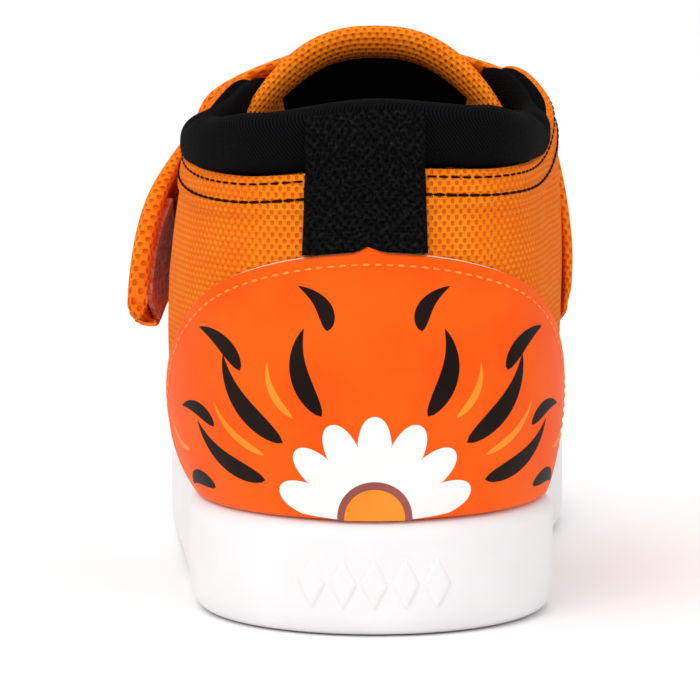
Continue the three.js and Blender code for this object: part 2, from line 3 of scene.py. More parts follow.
import bpy
import numpy as np
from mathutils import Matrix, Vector


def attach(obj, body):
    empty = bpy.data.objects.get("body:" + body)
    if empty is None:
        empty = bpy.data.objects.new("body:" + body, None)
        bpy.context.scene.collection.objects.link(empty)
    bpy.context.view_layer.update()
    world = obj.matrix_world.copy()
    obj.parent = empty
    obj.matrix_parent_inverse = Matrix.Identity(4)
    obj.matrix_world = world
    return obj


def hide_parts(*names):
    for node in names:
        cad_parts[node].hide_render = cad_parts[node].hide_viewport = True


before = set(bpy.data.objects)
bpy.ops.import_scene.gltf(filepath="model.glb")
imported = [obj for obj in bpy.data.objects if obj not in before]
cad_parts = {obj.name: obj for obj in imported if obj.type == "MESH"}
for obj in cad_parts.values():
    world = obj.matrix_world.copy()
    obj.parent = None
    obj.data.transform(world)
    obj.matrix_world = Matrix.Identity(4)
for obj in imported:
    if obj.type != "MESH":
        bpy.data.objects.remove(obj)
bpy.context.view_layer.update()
bpy.ops.object.select_all(action="DESELECT")
millimetre = 0.001

# Sizes of the last, as in the solids (millimetres)
lastSizes = {
    "soleLength": 152.0,
    "heelWidth": 58.0,
    "ballWidth": 66.0,
    "toeSwing": 1.5,
    "lipHeight": 18.4,
    "lipWall": 2.4,
    "heelFloor": 11.5,
    "ballFloor": 7.5,
    "toeSpring": 5.0,
    "archLift": 1.2,
    "collarHeight": 84.0,
    "cornerHeight": 80.0,
    "vampHeight": 53.3,
    "gap": 0.3,
}
soleLength = lastSizes["soleLength"]
heelHalf = lastSizes["heelWidth"] / 2
ballHalf = lastSizes["ballWidth"] / 2
spineFront = 0.7 * soleLength
gap = lastSizes["gap"]

# Sections round the foot, from the heel's back to the toe's tip
# A place holds the spine's point, the turn from straight back in degrees, half and tall
# The shares are of those, and a pair is the outer and the inner side
shareNames = ("reach", "lip", "belly", "bellyUp", "across", "along", "up", "shoulder", "drop")
collarTall, cornerTall, vampTall = (lastSizes[k] for k in ("collarHeight", "cornerHeight", "vampHeight"))
toeReach = soleLength - spineFront
sectionPlaces = [
    (heelHalf, 0, heelHalf, collarTall),
    (heelHalf, 45, heelHalf, collarTall),
    (heelHalf, 90, heelHalf, collarTall),
    (0.3 * soleLength, 90, heelHalf, collarTall),
    (0.395 * soleLength, 90, ballHalf, cornerTall),
    (0.5 * soleLength, 90, ballHalf, cornerTall),
    (0.62 * soleLength, 90, ballHalf, vampTall),
    (spineFront, 122, ballHalf, vampTall),
    (spineFront, 152, toeReach, vampTall),
    (spineFront, 180, toeReach, vampTall),
]
sectionShares = [
    (1, 0.98, 0.155, 0.165, 0, 0.021, 0.874, 0.12, 0.19),
    ((1.005, 0.995), 0.99, (0.2, 0.17), 0.14, (0.717, 0.66), 0.058, (0.851, 0.866), 0.12, 0.19),
    ((1.014, 0.98), 1, (0.29, 0.17), 0.12, (1.02, 0.9), 0.19, (0.864, 0.872), (0.13, 0.12), 0.2),
    ((1.045, 0.952), 0.97, (0.325, 0.19), 0.125, (0.885, 0.95), 0.3, 0.948, (0.2, 0.15), 0.155),
    ((0.964, 0.826), 0.92, (0.235, 0.16), 0.13, (0.615, 0.63), 0.408, (1.01, 1.035), (0.366, 0.282), 0.1),
    ((1.009, 0.86), 0.86, (0.215, 0.18), 0.13, (0.38, 0.355), 0.513, 0.865, (0.45, 0.418), 0.062),
    ((1.055, 0.936), 0.82, (0.167, 0.162), 0.18, (0.298, 0.282), 0.608, 1.09, (0.418, 0.387), 0.07),
    ((1.097, 1.04), 0.91, 0.115, 0.17, (0.162, 0.157), 0.648, 1.022, (0.418, 0.397), 0.056),
    ((0.91, 0.932), 1.08, 0.055, 0.17, (0.052, 0.05), 0.657, 1.005, 0.44, 0.085),
    (1, 1.16, 0.033, 0.17, 0, 0.658, 1, 0.53, 0.094),
]
rowCount = len(sectionPlaces) - 1
curveSteps = 141
toeFan = 1.2
nearShare = 0.004
nearTurn = 0.02
walkShare = 0.35


def ease(x):
    t = np.clip(x, 0, 1)
    return t * t * (3 - 2 * t)


def blend(a, b, t):
    return a + (b - a) * t


def hermite(b, slopeB, c, slopeC, t):
    first = (2 * t**3 - 3 * t**2 + 1) * b + (t**3 - 2 * t**2 + t) * slopeB
    return first + (3 * t**2 - 2 * t**3) * c + (t**3 - t**2) * slopeC


def signedPower(values, power):
    return np.sign(values) * np.abs(values) ** power


def unit(vectors):
    return vectors / np.linalg.norm(vectors, axis=-1, keepdims=True)


def runAlong(line):
    return np.concatenate([[0], np.cumsum(np.linalg.norm(np.diff(line, axis=0), axis=1))])


def sampled(at, run, line):
    return np.stack([np.interp(at, run, line[:, k]) for k in range(3)], -1)


def place(across, along, up):
    along = np.asarray(along, float)
    swing = lastSizes["toeSwing"] * ease((along / soleLength - 0.45) / 0.55)
    return np.stack(np.broadcast_arrays(across + swing, along - heelHalf, up), -1)


def treadAt(along):
    s = np.asarray(along, float) / soleLength
    arch = lastSizes["archLift"] * ease((s - 0.3) / 0.12) * ease((0.57 - s) / 0.12)
    return arch + lastSizes["toeSpring"] * np.maximum(0, (s - 0.7) / 0.3) ** 1.8


def floorAt(along):
    step = ease((np.asarray(along, float) / soleLength - 0.25) / 0.35)
    return treadAt(along) + blend(lastSizes["heelFloor"], lastSizes["ballFloor"], step)


def knot(k):
    ring = 2 * rowCount
    i = k % ring
    row, side = (i, 1) if i <= rowCount else (ring - i, 0)
    sign = 1 if side else -1
    turns = k // ring + (0 if i <= rowCount else 1)
    spine, turn, half, tall = sectionPlaces[row]
    scales = (half, lastSizes["lipHeight"], half, tall, sign * half, soleLength, tall, half, tall)
    made = {"spine": spine, "turn": sign * math.radians(turn) + 2 * math.pi * turns}
    for name, share, scale in zip(shareNames, sectionShares[row], scales):
        made[name] = (share[side] if isinstance(share, tuple) else share) * scale
    return made


sectionMemo = {}


def sectionAt(u):
    key = round(u, 5)
    if key in sectionMemo:
        return sectionMemo[key]
    k = math.floor(u)
    a, b, c, d = (knot(k + i) for i in (-1, 0, 1, 2))
    made = {}
    for name in b:
        held = name in ("spine", "turn")
        level = held and b[name] == c[name]
        slopeB = 0 if level or (held and a[name] == b[name]) else (c[name] - a[name]) / 2
        slopeC = 0 if level or (held and c[name] == d[name]) else (d[name] - b[name]) / 2
        made[name] = hermite(b[name], slopeB, c[name], slopeC, u - k)
    sectionMemo[key] = made
    return made


def reachPoint(section, reach, up):
    across = math.sin(section["turn"]) * np.asarray(reach, float)
    along = section["spine"] - math.cos(section["turn"]) * np.asarray(reach, float)
    return place(across, along, up(along) if callable(up) else up)


curveMemo = {}


def skinCurve(u):
    key = round(u, 5)
    if key in curveMemo:
        return curveMemo[key]
    s = sectionAt(u)
    foot = reachPoint(s, s["reach"] - lastSizes["lipWall"] - gap, s["lip"])
    out = np.array([math.sin(s["turn"]), -math.cos(s["turn"]), 0])
    top = place(s["across"], s["along"], s["up"])
    lean = out
    if abs(abs(s["turn"]) - math.pi) <= toeFan:
        lean = unit((foot - top) * [1, 1, 0])
    belly = foot + out * s["belly"] + [0, 0, s["bellyUp"]]
    shoulder = top + lean * s["shoulder"] - [0, 0, s["drop"]]
    t = np.linspace(0, 1, curveSteps)[:, None]
    line = (1 - t) ** 3 * foot + 3 * t * (1 - t) ** 2 * belly + 3 * t**2 * (1 - t) * shoulder + t**3 * top
    curveMemo[key] = (line, runAlong(line))
    return curveMemo[key]


def skinLine(u, shares):
    line, run = skinCurve(u)
    want = np.asarray(shares, float) * run[-1]
    return sampled(want, run, line) + np.maximum(0, want - run[-1])[..., None] * unit(line[-1] - line[-2])


def skin(u, shares, out=0.0):
    shares = np.atleast_1d(np.asarray(shares, float))
    on = np.clip(shares, nearShare, 1 - nearShare)
    rise = skinLine(u, on + nearShare) - skinLine(u, on - nearShare)
    walk = skinLine(u + nearTurn, on) - skinLine(u - nearTurn, on)
    return skinLine(u, shares) + unit(np.cross(walk, rise)) * np.asarray(out, float)[..., None]


def skinLength(u):
    return skinCurve(u)[1][-1]


def shareBelowTop(u, distance):
    return 1 - distance / skinLength(u)


walkU = np.linspace(-6, 6, 601)
walkRun = runAlong(np.array([skinLine(u, walkShare) for u in walkU]))
walkRun -= np.interp(0, walkU, walkRun)


def uAtDistance(distance):
    return float(np.interp(distance, walkRun, walkU))


def shareAtHeight(u, height):
    shares = np.linspace(0, 1, 201)
    return np.interp(height, skinLine(u, shares)[:, 2], shares)


# Meshes from rows of points
def gridPiece(name, points, uvs, finishNames, rowMaterial=None):
    points, uvs = np.asarray(points, float), np.asarray(uvs, float)
    rows, columns = points.shape[:2]
    bpy.ops.mesh.primitive_grid_add(x_subdivisions=columns - 1, y_subdivisions=rows - 1, size=2)
    piece = bpy.context.object
    piece.name = piece.data.name = name
    mesh = piece.data
    flat = np.zeros(len(mesh.vertices) * 3)
    mesh.vertices.foreach_get("co", flat)
    flat = flat.reshape(-1, 3)
    column = np.rint((flat[:, 0] + 1) / 2 * (columns - 1)).astype(int)
    row = np.rint((flat[:, 1] + 1) / 2 * (rows - 1)).astype(int)
    mesh.vertices.foreach_set("co", (points[row, column] * millimetre).ravel())
    corner = np.zeros(len(mesh.loops), int)
    mesh.loops.foreach_get("vertex_index", corner)
    mesh.uv_layers.active.data.foreach_set("uv", (uvs[row[corner], column[corner]]).ravel())
    for finishName in finishNames:
        mesh.materials.append(finishes[finishName])
    if rowMaterial is not None:
        faceRow = row[corner].reshape(-1, 4).min(1)
        faceColumn = column[corner].reshape(-1, 4).min(1)
        mesh.polygons.foreach_set("material_index", np.asarray(rowMaterial(faceRow, faceColumn), int))
    mesh.update()
    bpy.ops.object.mode_set(mode="EDIT")
    bpy.ops.mesh.select_all(action="SELECT")
    bpy.ops.mesh.remove_doubles(threshold=1e-6)
    bpy.ops.mesh.normals_make_consistent(inside=False)
    bpy.ops.mesh.select_all(action="DESELECT")
    bpy.ops.object.mode_set(mode="OBJECT")
    bpy.ops.object.shade_smooth()
    return piece


def settle(piece, slotName, *nodes):
    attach(piece, "root")
    if nodes:
        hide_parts(*nodes)
    piece.select_set(False)
    return piece


def alongRows(points):
    step = np.linalg.norm(np.diff(points, axis=1), axis=2)
    return np.concatenate([np.zeros((len(points), 1)), np.cumsum(step, axis=1)], 1)


def alongColumns(points):
    return alongRows(points.transpose(1, 0, 2)).T


def closeEnds(points, shares, rounding=0.0):
    ends = []
    for j, beside, order in ((0, 1, shares), (-1, -2, shares[::-1])):
        end = points[:, j]
        ahead = unit((end - points[:, beside]).mean(0)) * rounding
        ends.append(np.stack([blend(end.mean(0), end, k) + ahead * math.sqrt(1 - k * k) for k in order], 1))
    return np.concatenate([ends[0], points, ends[1]], 1)


# Shader nodes and groups: what several materials share
def addNode(tree, kind, inputs, **settings):
    node = tree.nodes.new("ShaderNode" + kind)
    for name, value in settings.items():
        setattr(node, name, value)
    for name, value in inputs.items():
        if isinstance(value, bpy.types.NodeSocket):
            tree.links.new(value, node.inputs[name])
        else:
            node.inputs[name].default_value = value
    return node


def mathNode(tree, operation, *values, clamp=False):
    return addNode(tree, "Math", dict(enumerate(values)), operation=operation, use_clamp=clamp).outputs[0]


def rampNode(tree, value, low, high):
    return addNode(tree, "MapRange", {0: value, 1: low, 2: high}, interpolation_type="SMOOTHSTEP").outputs[0]


def noiseNode(tree, vector, scale, detail=3, rough=0.5, output="Fac"):
    inputs = {"Vector": vector, "Scale": scale, "Detail": detail, "Roughness": rough}
    return addNode(tree, "TexNoise", inputs).outputs[output]


def newGroup(name, inputs, outputs):
    group = bpy.data.node_groups.new(name, "ShaderNodeTree")
    for label, value in inputs.items():
        kind = "NodeSocketVector" if value is None else "NodeSocketFloat"
        socket = group.interface.new_socket(label, in_out="INPUT", socket_type=kind)
        if value is not None:
            socket.default_value = value
    for label in outputs:
        group.interface.new_socket(label, in_out="OUTPUT", socket_type="NodeSocketFloat")
    given = group.nodes.new("NodeGroupInput").outputs
    end = group.nodes.new("NodeGroupOutput").inputs

    def maths(operation, *values, clamp=False):
        return mathNode(group, operation, *values, clamp=clamp)

    def put(**values):
        for label, value in values.items():
            group.links.new(value, end[label])
        return group

    return group, given, maths, put


def buildAirMesh():
    inputs = {"Vector": None, "Cell": 1.35, "Row": 0.92, "Wander": 0.25, "Ribbed": 0.0}
    group, given, maths, put = newGroup("airMesh", inputs, ("Holes", "Height", "Mottle"))
    cloud = noiseNode(group, given["Vector"], 0.35, 2, output="Color")
    centred = addNode(group, "VectorMath", {0: cloud, 1: (0.5, 0.5, 0.5)}, operation="SUBTRACT").outputs[0]
    wandered = {0: centred, 1: given["Wander"], 2: given["Vector"]}
    moved = addNode(group, "VectorMath", wandered, operation="MULTIPLY_ADD").outputs[0]
    split = addNode(group, "SeparateXYZ", {0: moved}).outputs
    x = maths("MULTIPLY", maths("DIVIDE", split[0], given["Cell"]), 2 * math.pi)
    y = maths("MULTIPLY", maths("DIVIDE", split[1], given["Row"]), math.pi)
    holes = rampNode(group, maths("MULTIPLY", maths("COSINE", x), maths("COSINE", y)), 0.12, 0.85)
    ribs = maths("MULTIPLY", maths("COSINE", maths("MULTIPLY", y, 2)), -0.18)
    fibre = maths("MULTIPLY", noiseNode(group, given["Vector"], 5.5), 0.35)
    # The holes and the troughs between the ribs are darkened in colour: painted shade in these recesses
    troughShade = maths("MULTIPLY", maths("MULTIPLY_ADD", ribs, 2.7, 0.5, clamp=True), given["Ribbed"])
    holeShadeMask = maths("MULTIPLY", holes, maths("MULTIPLY_ADD", given["Ribbed"], -0.5, 1.0))
    return put(
        Holes=maths("MAXIMUM", holeShadeMask, maths("MULTIPLY", troughShade, 0.75)),
        Height=maths("SUBTRACT", maths("ADD", ribs, fibre), holes),
        Mottle=noiseNode(group, given["Vector"], 0.16, 4),
    )


def buildTwill():
    inputs = {"Vector": None, "Pitch": 0.62, "Slant": 0.8}
    group, given, maths, put = newGroup("twillKnit", inputs, ("Ribs", "Height"))
    split = addNode(group, "SeparateXYZ", {0: given["Vector"]}).outputs
    lean = maths("MULTIPLY", split[1], given["Slant"])
    run = maths("DIVIDE", maths("ADD", split[0], lean), given["Pitch"])
    ribs = maths("SINE", maths("MULTIPLY", run, 2 * math.pi))
    rung = maths("SINE", maths("MULTIPLY", split[1], 2 * math.pi / 0.5))
    fuzz = noiseNode(group, given["Vector"], 3.2, 5, 0.65)
    knit = maths("ADD", maths("MULTIPLY", ribs, 0.5), maths("MULTIPLY", rung, 0.2))
    return put(Ribs=rampNode(group, ribs, -0.8, 0.9), Height=maths("ADD", knit, fuzz))


def buildSoftGrain():
    inputs = {"Vector": None, "Fine": 2.2, "Broad": 0.12}
    group, given, maths, put = newGroup("softGrain", inputs, ("Height", "Cloud"))
    fine = noiseNode(group, given["Vector"], given["Fine"], 4)
    broad = noiseNode(group, given["Vector"], given["Broad"])
    return put(Height=maths("MULTIPLY_ADD", broad, 2.0, fine), Cloud=broad)


groups = {"airMesh": buildAirMesh(), "twill": buildTwill(), "grain": buildSoftGrain()}


def linear(red, green, blue):
    shares = [c / 255 for c in (red, green, blue)]
    return (*(c / 12.92 if c <= 0.04045 else ((c + 0.055) / 1.055) ** 2.4 for c in shares), 1.0)


def newMaterial(name, roughness, specular, view, sheen=0.0):
    material = bpy.data.materials.new(name)
    material.use_nodes = True
    material.diffuse_color = (*view, 1)
    shader = material.node_tree.nodes["Principled BSDF"]
    shader.inputs["Roughness"].default_value = roughness
    shader.inputs["Specular IOR Level"].default_value = specular
    shader.inputs["Sheen Weight"].default_value = sheen
    shader.inputs["Sheen Roughness"].default_value = 0.6
    return material, material.node_tree, shader


def vectorFrom(tree, source, scale=1.0):
    at = tree.nodes.new("ShaderNodeTexCoord").outputs[source]
    return addNode(tree, "Mapping", {"Vector": at, "Scale": (scale,) * 3}).outputs[0]


def useGroup(tree, name, vector, **values):
    return addNode(tree, "Group", {"Vector": vector, **values}, node_tree=groups[name]).outputs


def colourMix(tree, factor, first, second):
    return addNode(tree, "Mix", {0: factor, 6: first, 7: second}, data_type="RGBA").outputs[2]


def finish(tree, shader, colour, height, strength, distance):
    inputs = {"Strength": strength, "Distance": distance * millimetre, "Height": height}
    tree.links.new(addNode(tree, "Bump", inputs).outputs[0], shader.inputs["Normal"])
    tree.links.new(colour, shader.inputs["Base Color"])


meshLook = {
    "light": linear(255, 142, 22),
    "base": linear(255, 132, 16),
    # Darker orange for the holes and the rib troughs: painted shade
    "holeShadeColour": linear(243, 94, 5),
    "cell": 1.36,
    "row": 0.92,
    "ribsFrom": 14,
    "ribsOver": 10,
    "bump": 0.8,
    "depth": 0.45,
}


def airMeshMaterial(name, ribbed=False):
    look = meshLook
    material, tree, shader = newMaterial(name, 0.85, 0.12, (0.95, 0.4, 0.05))
    at = vectorFrom(tree, "UV")
    ribs = 0.0
    if ribbed:
        away = mathNode(tree, "ABSOLUTE", addNode(tree, "SeparateXYZ", {0: at}).outputs[0])
        ribs = rampNode(tree, away, look["ribsFrom"], look["ribsFrom"] + look["ribsOver"])
    cells = useGroup(tree, "airMesh", at, Cell=look["cell"], Row=look["row"], Ribbed=ribs)
    ground = colourMix(tree, rampNode(tree, cells["Mottle"], 0.35, 0.65), look["base"], look["light"])
    # Holes and rib troughs take the darker colour: painted shade
    colour = colourMix(tree, cells["Holes"], ground, look["holeShadeColour"])
    finish(tree, shader, colour, cells["Height"], look["bump"], look["depth"])
    return material


def twillMaterial(name, dark, light, pitch=0.62, slant=0.8, depth=0.25):
    material, tree, shader = newMaterial(name, 0.9, 0.05, (0.03, 0.03, 0.03))
    knit = useGroup(tree, "twill", vectorFrom(tree, "UV"), Pitch=pitch, Slant=slant)
    finish(tree, shader, colourMix(tree, knit["Ribs"], dark, light), knit["Height"], 0.7, depth)
    return material


webbingLook = {
    "cell": 1.3,
    "row": 0.8,
    "wander": 2.2,
    "speck": 1.4,
    "dark": linear(9, 9, 9),
    "light": linear(34, 34, 35),
    # Near-black for the open cells: painted shade
    "holeShadeColour": linear(3, 3, 3),
    "depth": 0.6,
}


def webbingMaterial(name):
    look = webbingLook
    material, tree, shader = newMaterial(name, 0.9, 0.05, (0.02, 0.02, 0.02))
    at = vectorFrom(tree, "UV")
    cells = useGroup(tree, "airMesh", at, Cell=look["cell"], Row=look["row"], Wander=look["wander"])
    specks = noiseNode(tree, at, look["speck"], 4, 0.7)
    ground = colourMix(tree, rampNode(tree, specks, 0.42, 0.72), look["dark"], look["light"])
    # Open cells take the darkest colour: painted shade
    colour = colourMix(tree, cells["Holes"], ground, look["holeShadeColour"])
    finish(tree, shader, colour, mathNode(tree, "ADD", cells["Height"], specks), 1.0, look["depth"])
    return material


def grainMaterial(name, first, second, roughness, specular, fine, broad, strength, depth, sheen=0.0):
    first, second = linear(*first), linear(*second)
    material, tree, shader = newMaterial(name, roughness, specular, first[:3], sheen)
    grain = useGroup(tree, "grain", vectorFrom(tree, "Object", 1 / millimetre), Fine=fine, Broad=broad)
    colour = colourMix(tree, rampNode(tree, grain["Cloud"], 0.35, 0.65), first, second)
    finish(tree, shader, colour, grain["Height"], strength, depth)
    return material


finishes = {
    "mesh": airMeshMaterial("orangeAirMesh"),
    "ribbedMesh": airMeshMaterial("orangeRibbedMesh", ribbed=True),
    "knit": twillMaterial("blackTwillKnit", linear(3, 3, 4), linear(17, 17, 19)),
    "lining": twillMaterial("blackLining", linear(1, 1, 1), linear(6, 6, 7), 0.8, 0.2, 0.15),
    "webbing": webbingMaterial("blackWebbing"),
}

# Two colours, roughness, specular, fine and broad grain, strength and depth of the bump, sheen
smoothGrain = (0.5, 0.09, 3.0, 0.08, 0.25, 0.08)
grainLooks = {
    "orangeLeather": ((252, 88, 8), (254, 98, 14), *smoothGrain),
    "whiteCutEdge": ((238, 226, 216), (250, 242, 234), 0.7, 0.3, 3.0, 0.3, 0.3, 0.05),
    "whiteRubber": ((241, 240, 241), (245, 244, 245), 0.55, 0.2, 1.6, 0.07, 0.2, 0.1),
    "amberThread": ((248, 134, 44), (255, 158, 64), 0.6, 0.3, 4.0, 1.0, 0.4, 0.05),
    "blackThread": ((30, 6, 3), (46, 10, 5), 0.85, 0.08, 4.0, 1.0, 0.4, 0.05),
    "hookTape": ((232, 104, 78), (255, 172, 148), 0.9, 0.2, 2.6, 0.9, 1.0, 0.5, 0.3),
    "printWhite": ((250, 247, 246), (254, 252, 251), *smoothGrain),
    "printBlack": ((22, 10, 8), (30, 16, 12), *smoothGrain),
    "printAmber": ((252, 140, 38), (255, 152, 52), *smoothGrain),
    "printMauve": ((150, 82, 76), (162, 92, 84), *smoothGrain),
    "insoleCloth": ((10, 10, 11), (20, 20, 22), 0.95, 0.15, 2.5, 0.4, 0.8, 0.3),
}
for name, look in grainLooks.items():
    finishes[name] = grainMaterial(name, *look)
print("materials made")

# Stitches: one small rounded thread, copied along a seam
stitchShape = {"segments": 8, "rings": 5, "sink": 0.4, "blunt": 0.7, "flatness": 0.85, "overlap": 0.2}


def stitchRow(name, path, lifted, thread, finishName, slotName):
    pitch, length, radius = thread
    s = stitchShape
    path = np.asarray(path, float)
    normals = np.asarray(lifted, float) - path
    run = runAlong(path)
    count = max(1, int(run[-1] // pitch))
    centres = (np.arange(count) + 0.5) * run[-1] / count
    bpy.ops.mesh.primitive_uv_sphere_add(segments=s["segments"], ring_count=s["rings"], radius=1)
    ball = bpy.context.object
    base = np.array([v.co[:] for v in ball.data.vertices])
    base[:, 2] = signedPower(base[:, 2], s["blunt"])
    faces = [tuple(p.vertices) for p in ball.data.polygons]
    bpy.ops.object.delete()
    half = length / 2 - radius * s["overlap"]
    reach = sampled(centres + half, run, path) - sampled(centres - half, run, path)
    size = np.linalg.norm(reach, axis=1, keepdims=True)
    forward = reach / size
    side = unit(np.cross(sampled(centres, run, normals), forward))
    up = np.cross(forward, side)
    centre = sampled(centres, run, path) + up * radius * (1 - 2 * s["sink"])
    points = (
        centre[:, None]
        + side[:, None] * base[None, :, :1] * radius
        + up[:, None] * base[None, :, 1:2] * radius * s["flatness"]
        + forward[:, None] * base[None, :, 2:] * size[:, None] / 2
    )
    allFaces = [tuple(i + n * len(base) for i in f) for n in range(count) for f in faces]
    mesh = bpy.data.meshes.new(name)
    mesh.from_pydata((points.reshape(-1, 3) * millimetre).tolist(), [], allFaces)
    row = bpy.data.objects.new(name, mesh)
    bpy.context.scene.collection.objects.link(row)
    mesh.materials.append(finishes[finishName])
    mesh.shade_smooth()
    return settle(row, slotName)


# Camera: straight behind the heel, about a metre back and well above the shoe
cameraSizes = {
    "behind": 1000.0,
    "height": 195.0,
    "focalPixels": 6520.0,
    "photoPixels": 700,
    "sensor": 36,
    "aimUp": 42.4,
    "aimAcross": -3.9,
    "aimAlong": 20.0,
}


def addCamera():
    s = cameraSizes
    back = -(s["behind"] + heelHalf)
    bpy.ops.object.camera_add(location=(0, back * millimetre, s["height"] * millimetre))
    camera = bpy.context.object
    camera.name = "photoCamera"
    camera.data.sensor_width = s["sensor"]
    camera.data.lens = s["focalPixels"] / s["photoPixels"] * s["sensor"]
    aim = Vector((s["aimAcross"], s["aimAlong"] - heelHalf, s["aimUp"])) * millimetre
    camera.rotation_euler = (aim - camera.location).to_track_quat("-Z", "Y").to_euler()
    camera.data.clip_start, camera.data.clip_end = 0.01, 20
    bpy.context.scene.camera = camera


addCamera()

# Floor and light: a bright white table under a soft sun and two large lamps (metres)
stageSizes = {"floor": 8, "floorAt": (0, 2.0, -0.0002), "lampAim": (0, 0.03, 0.04), "room": 0.55}
lampSizes = {
    "keyLight": {"at": (-0.8, -1.2, 1.3), "size": 1.0, "power": 8.5},
    "fillLight": {"at": (1.1, -0.9, 0.9), "size": 1.4, "power": 2.5},
}
sunSizes = {"from": (-0.12, -0.1, 1.0), "softness": 1.0, "strength": 1.5}


def addStage():
    bpy.ops.mesh.primitive_plane_add(size=stageSizes["floor"], location=stageSizes["floorAt"])
    floor = bpy.context.object
    floor.name = "floor"
    bpy.ops.object.transform_apply(location=True, rotation=True, scale=True)
    material, tree, shader = newMaterial("whiteTable", 0.6, 0.2, (1, 1, 1))
    shader.inputs["Base Color"].default_value = linear(252, 251, 251)
    floor.data.materials.append(material)
    floor.select_set(False)
    for name, s in lampSizes.items():
        bpy.ops.object.light_add(type="AREA", location=s["at"])
        lamp = bpy.context.object
        lamp.name = name
        lamp.data.size = s["size"]
        lamp.data.energy = s["power"]
        aim = Vector(stageSizes["lampAim"]) - lamp.location
        lamp.rotation_euler = aim.to_track_quat("-Z", "Y").to_euler()
        lamp.select_set(False)
    bpy.ops.object.light_add(type="SUN", location=sunSizes["from"])
    sun = bpy.context.object
    sun.name = "topLight"
    sun.data.energy, sun.data.angle = sunSizes["strength"], sunSizes["softness"]
    sun.rotation_euler = Vector(sunSizes["from"]).to_track_quat("Z", "Y").to_euler()
    sun.select_set(False)
    world = bpy.data.worlds.new("softRoom")
    world.use_nodes = True
    background = world.node_tree.nodes["Background"]
    background.inputs["Color"].default_value = (1, 1, 1, 1)
    background.inputs["Strength"].default_value = stageSizes["room"]
    bpy.context.scene.world = world
    bpy.context.scene.view_settings.view_transform = "Standard"
    bpy.context.scene.view_settings.look = "None"


addStage()
print("camera, floor and lights made")

# Upper: outer wall, stepped band, rounded rim and lining in one closed skin
# The step's rows go from the band's lower edge, the rim's from the top: how far below, and how far out
upperShape = {
    "wall": 2.4,
    "bandWidth": 5.8,
    "bandRise": 0.6,
    "columnsPerStep": 16,
    "bodyRows": 34,
    "bodyStop": 0.6,
    "step": [(0.45, 0.08), (0.25, 0.3), (0.0, 0.52)],
    "stepTop": -0.35,
    "band": [4.6, 3.2, 1.8, 0.9],
    "rim": [(0.45, 0.55), (0.15, 0.35), (0.0, 0.0), (-0.05, -0.35), (-0.05, -1.2), (0.0, -1.9), (0.25, -2.25),
            (0.7, -2.4)],
    "rimOutside": 3,
    "liningRows": 16,
    "liningFrom": 1.6,
}


def stepsRound(columnsPerStep):
    return np.arange(-rowCount * columnsPerStep, rowCount * columnsPerStep + 1) / columnsPerStep


def makeUpper():
    s = upperShape
    us = stepsRound(s["columnsPerStep"])
    stepRows = np.array([*s["step"], (s["stepTop"], s["bandRise"])])
    rimRows = np.array([*((below, s["bandRise"]) for below in s["band"]), *s["rim"]])
    columns = []
    for u in us:
        section = sectionAt(u)
        edge = section["reach"] - lastSizes["lipWall"] - gap
        bandShare = shareBelowTop(u, s["bandWidth"])
        shares = np.concatenate([
            np.linspace(0, 1, s["bodyRows"]) * (bandShare - s["bodyStop"] / skinLength(u)),
            bandShare - stepRows[:, 0] / skinLength(u),
            shareBelowTop(u, rimRows[:, 0]),
            np.linspace(shareBelowTop(u, s["liningFrom"]), 0, s["liningRows"]),
        ])
        out = np.concatenate([
            np.zeros(s["bodyRows"]),
            stepRows[:, 1],
            rimRows[:, 1],
            np.full(s["liningRows"], -s["wall"]),
        ])
        low, inner = (reachPoint(section, edge - k, lambda a: floorAt(a) + gap) for k in (0, s["wall"]))
        columns.append(np.concatenate([[low], skin(u, shares, out), [inner], [low]]))
    points = np.array(columns).transpose(1, 0, 2)
    middle = len(us) // 2
    across = alongRows(points)
    uvs = np.stack([across - across[:, middle : middle + 1], alongColumns(points)], -1)
    firstLining = 1 + s["bodyRows"] + len(stepRows) + len(s["band"]) + s["rimOutside"]
    piece = gridPiece("upperShell", points, uvs, ["ribbedMesh", "lining"],
                      lambda row, column: (row >= firstLining).astype(int))
    settle(piece, "orange_mesh", "upper")


makeUpper()
print("upper made")

# Cup sole: tread, rounded wall, lip and the cup's inside
soleShape = {
    "treadRound": 2.6,
    "roundUp": 3.8,
    "columnsPerStep": 16,
    "grooveDepth": 1.3,
    "grooveWidth": 2.2,
    "groovePitch": 8.0,
    "grooveForward": 0.25,
    "grooveOver": 1.03,
    "treadMargin": 6.0,
    "lipRoundFrom": 0.8,
    "treadRings": (0, 0.25, 0.5, 0.72, 0.86, 0.95),
    "wallRings": (0.3, 0.6, 0.9),
    "cupRings": (1, 0.6, 0),
    "roundRings": 8,
    "lipRings": 10,
    "creaseAngle": 40,
}


def soleRing(section, inset, up):
    return reachPoint(section, section["reach"] - inset, up)


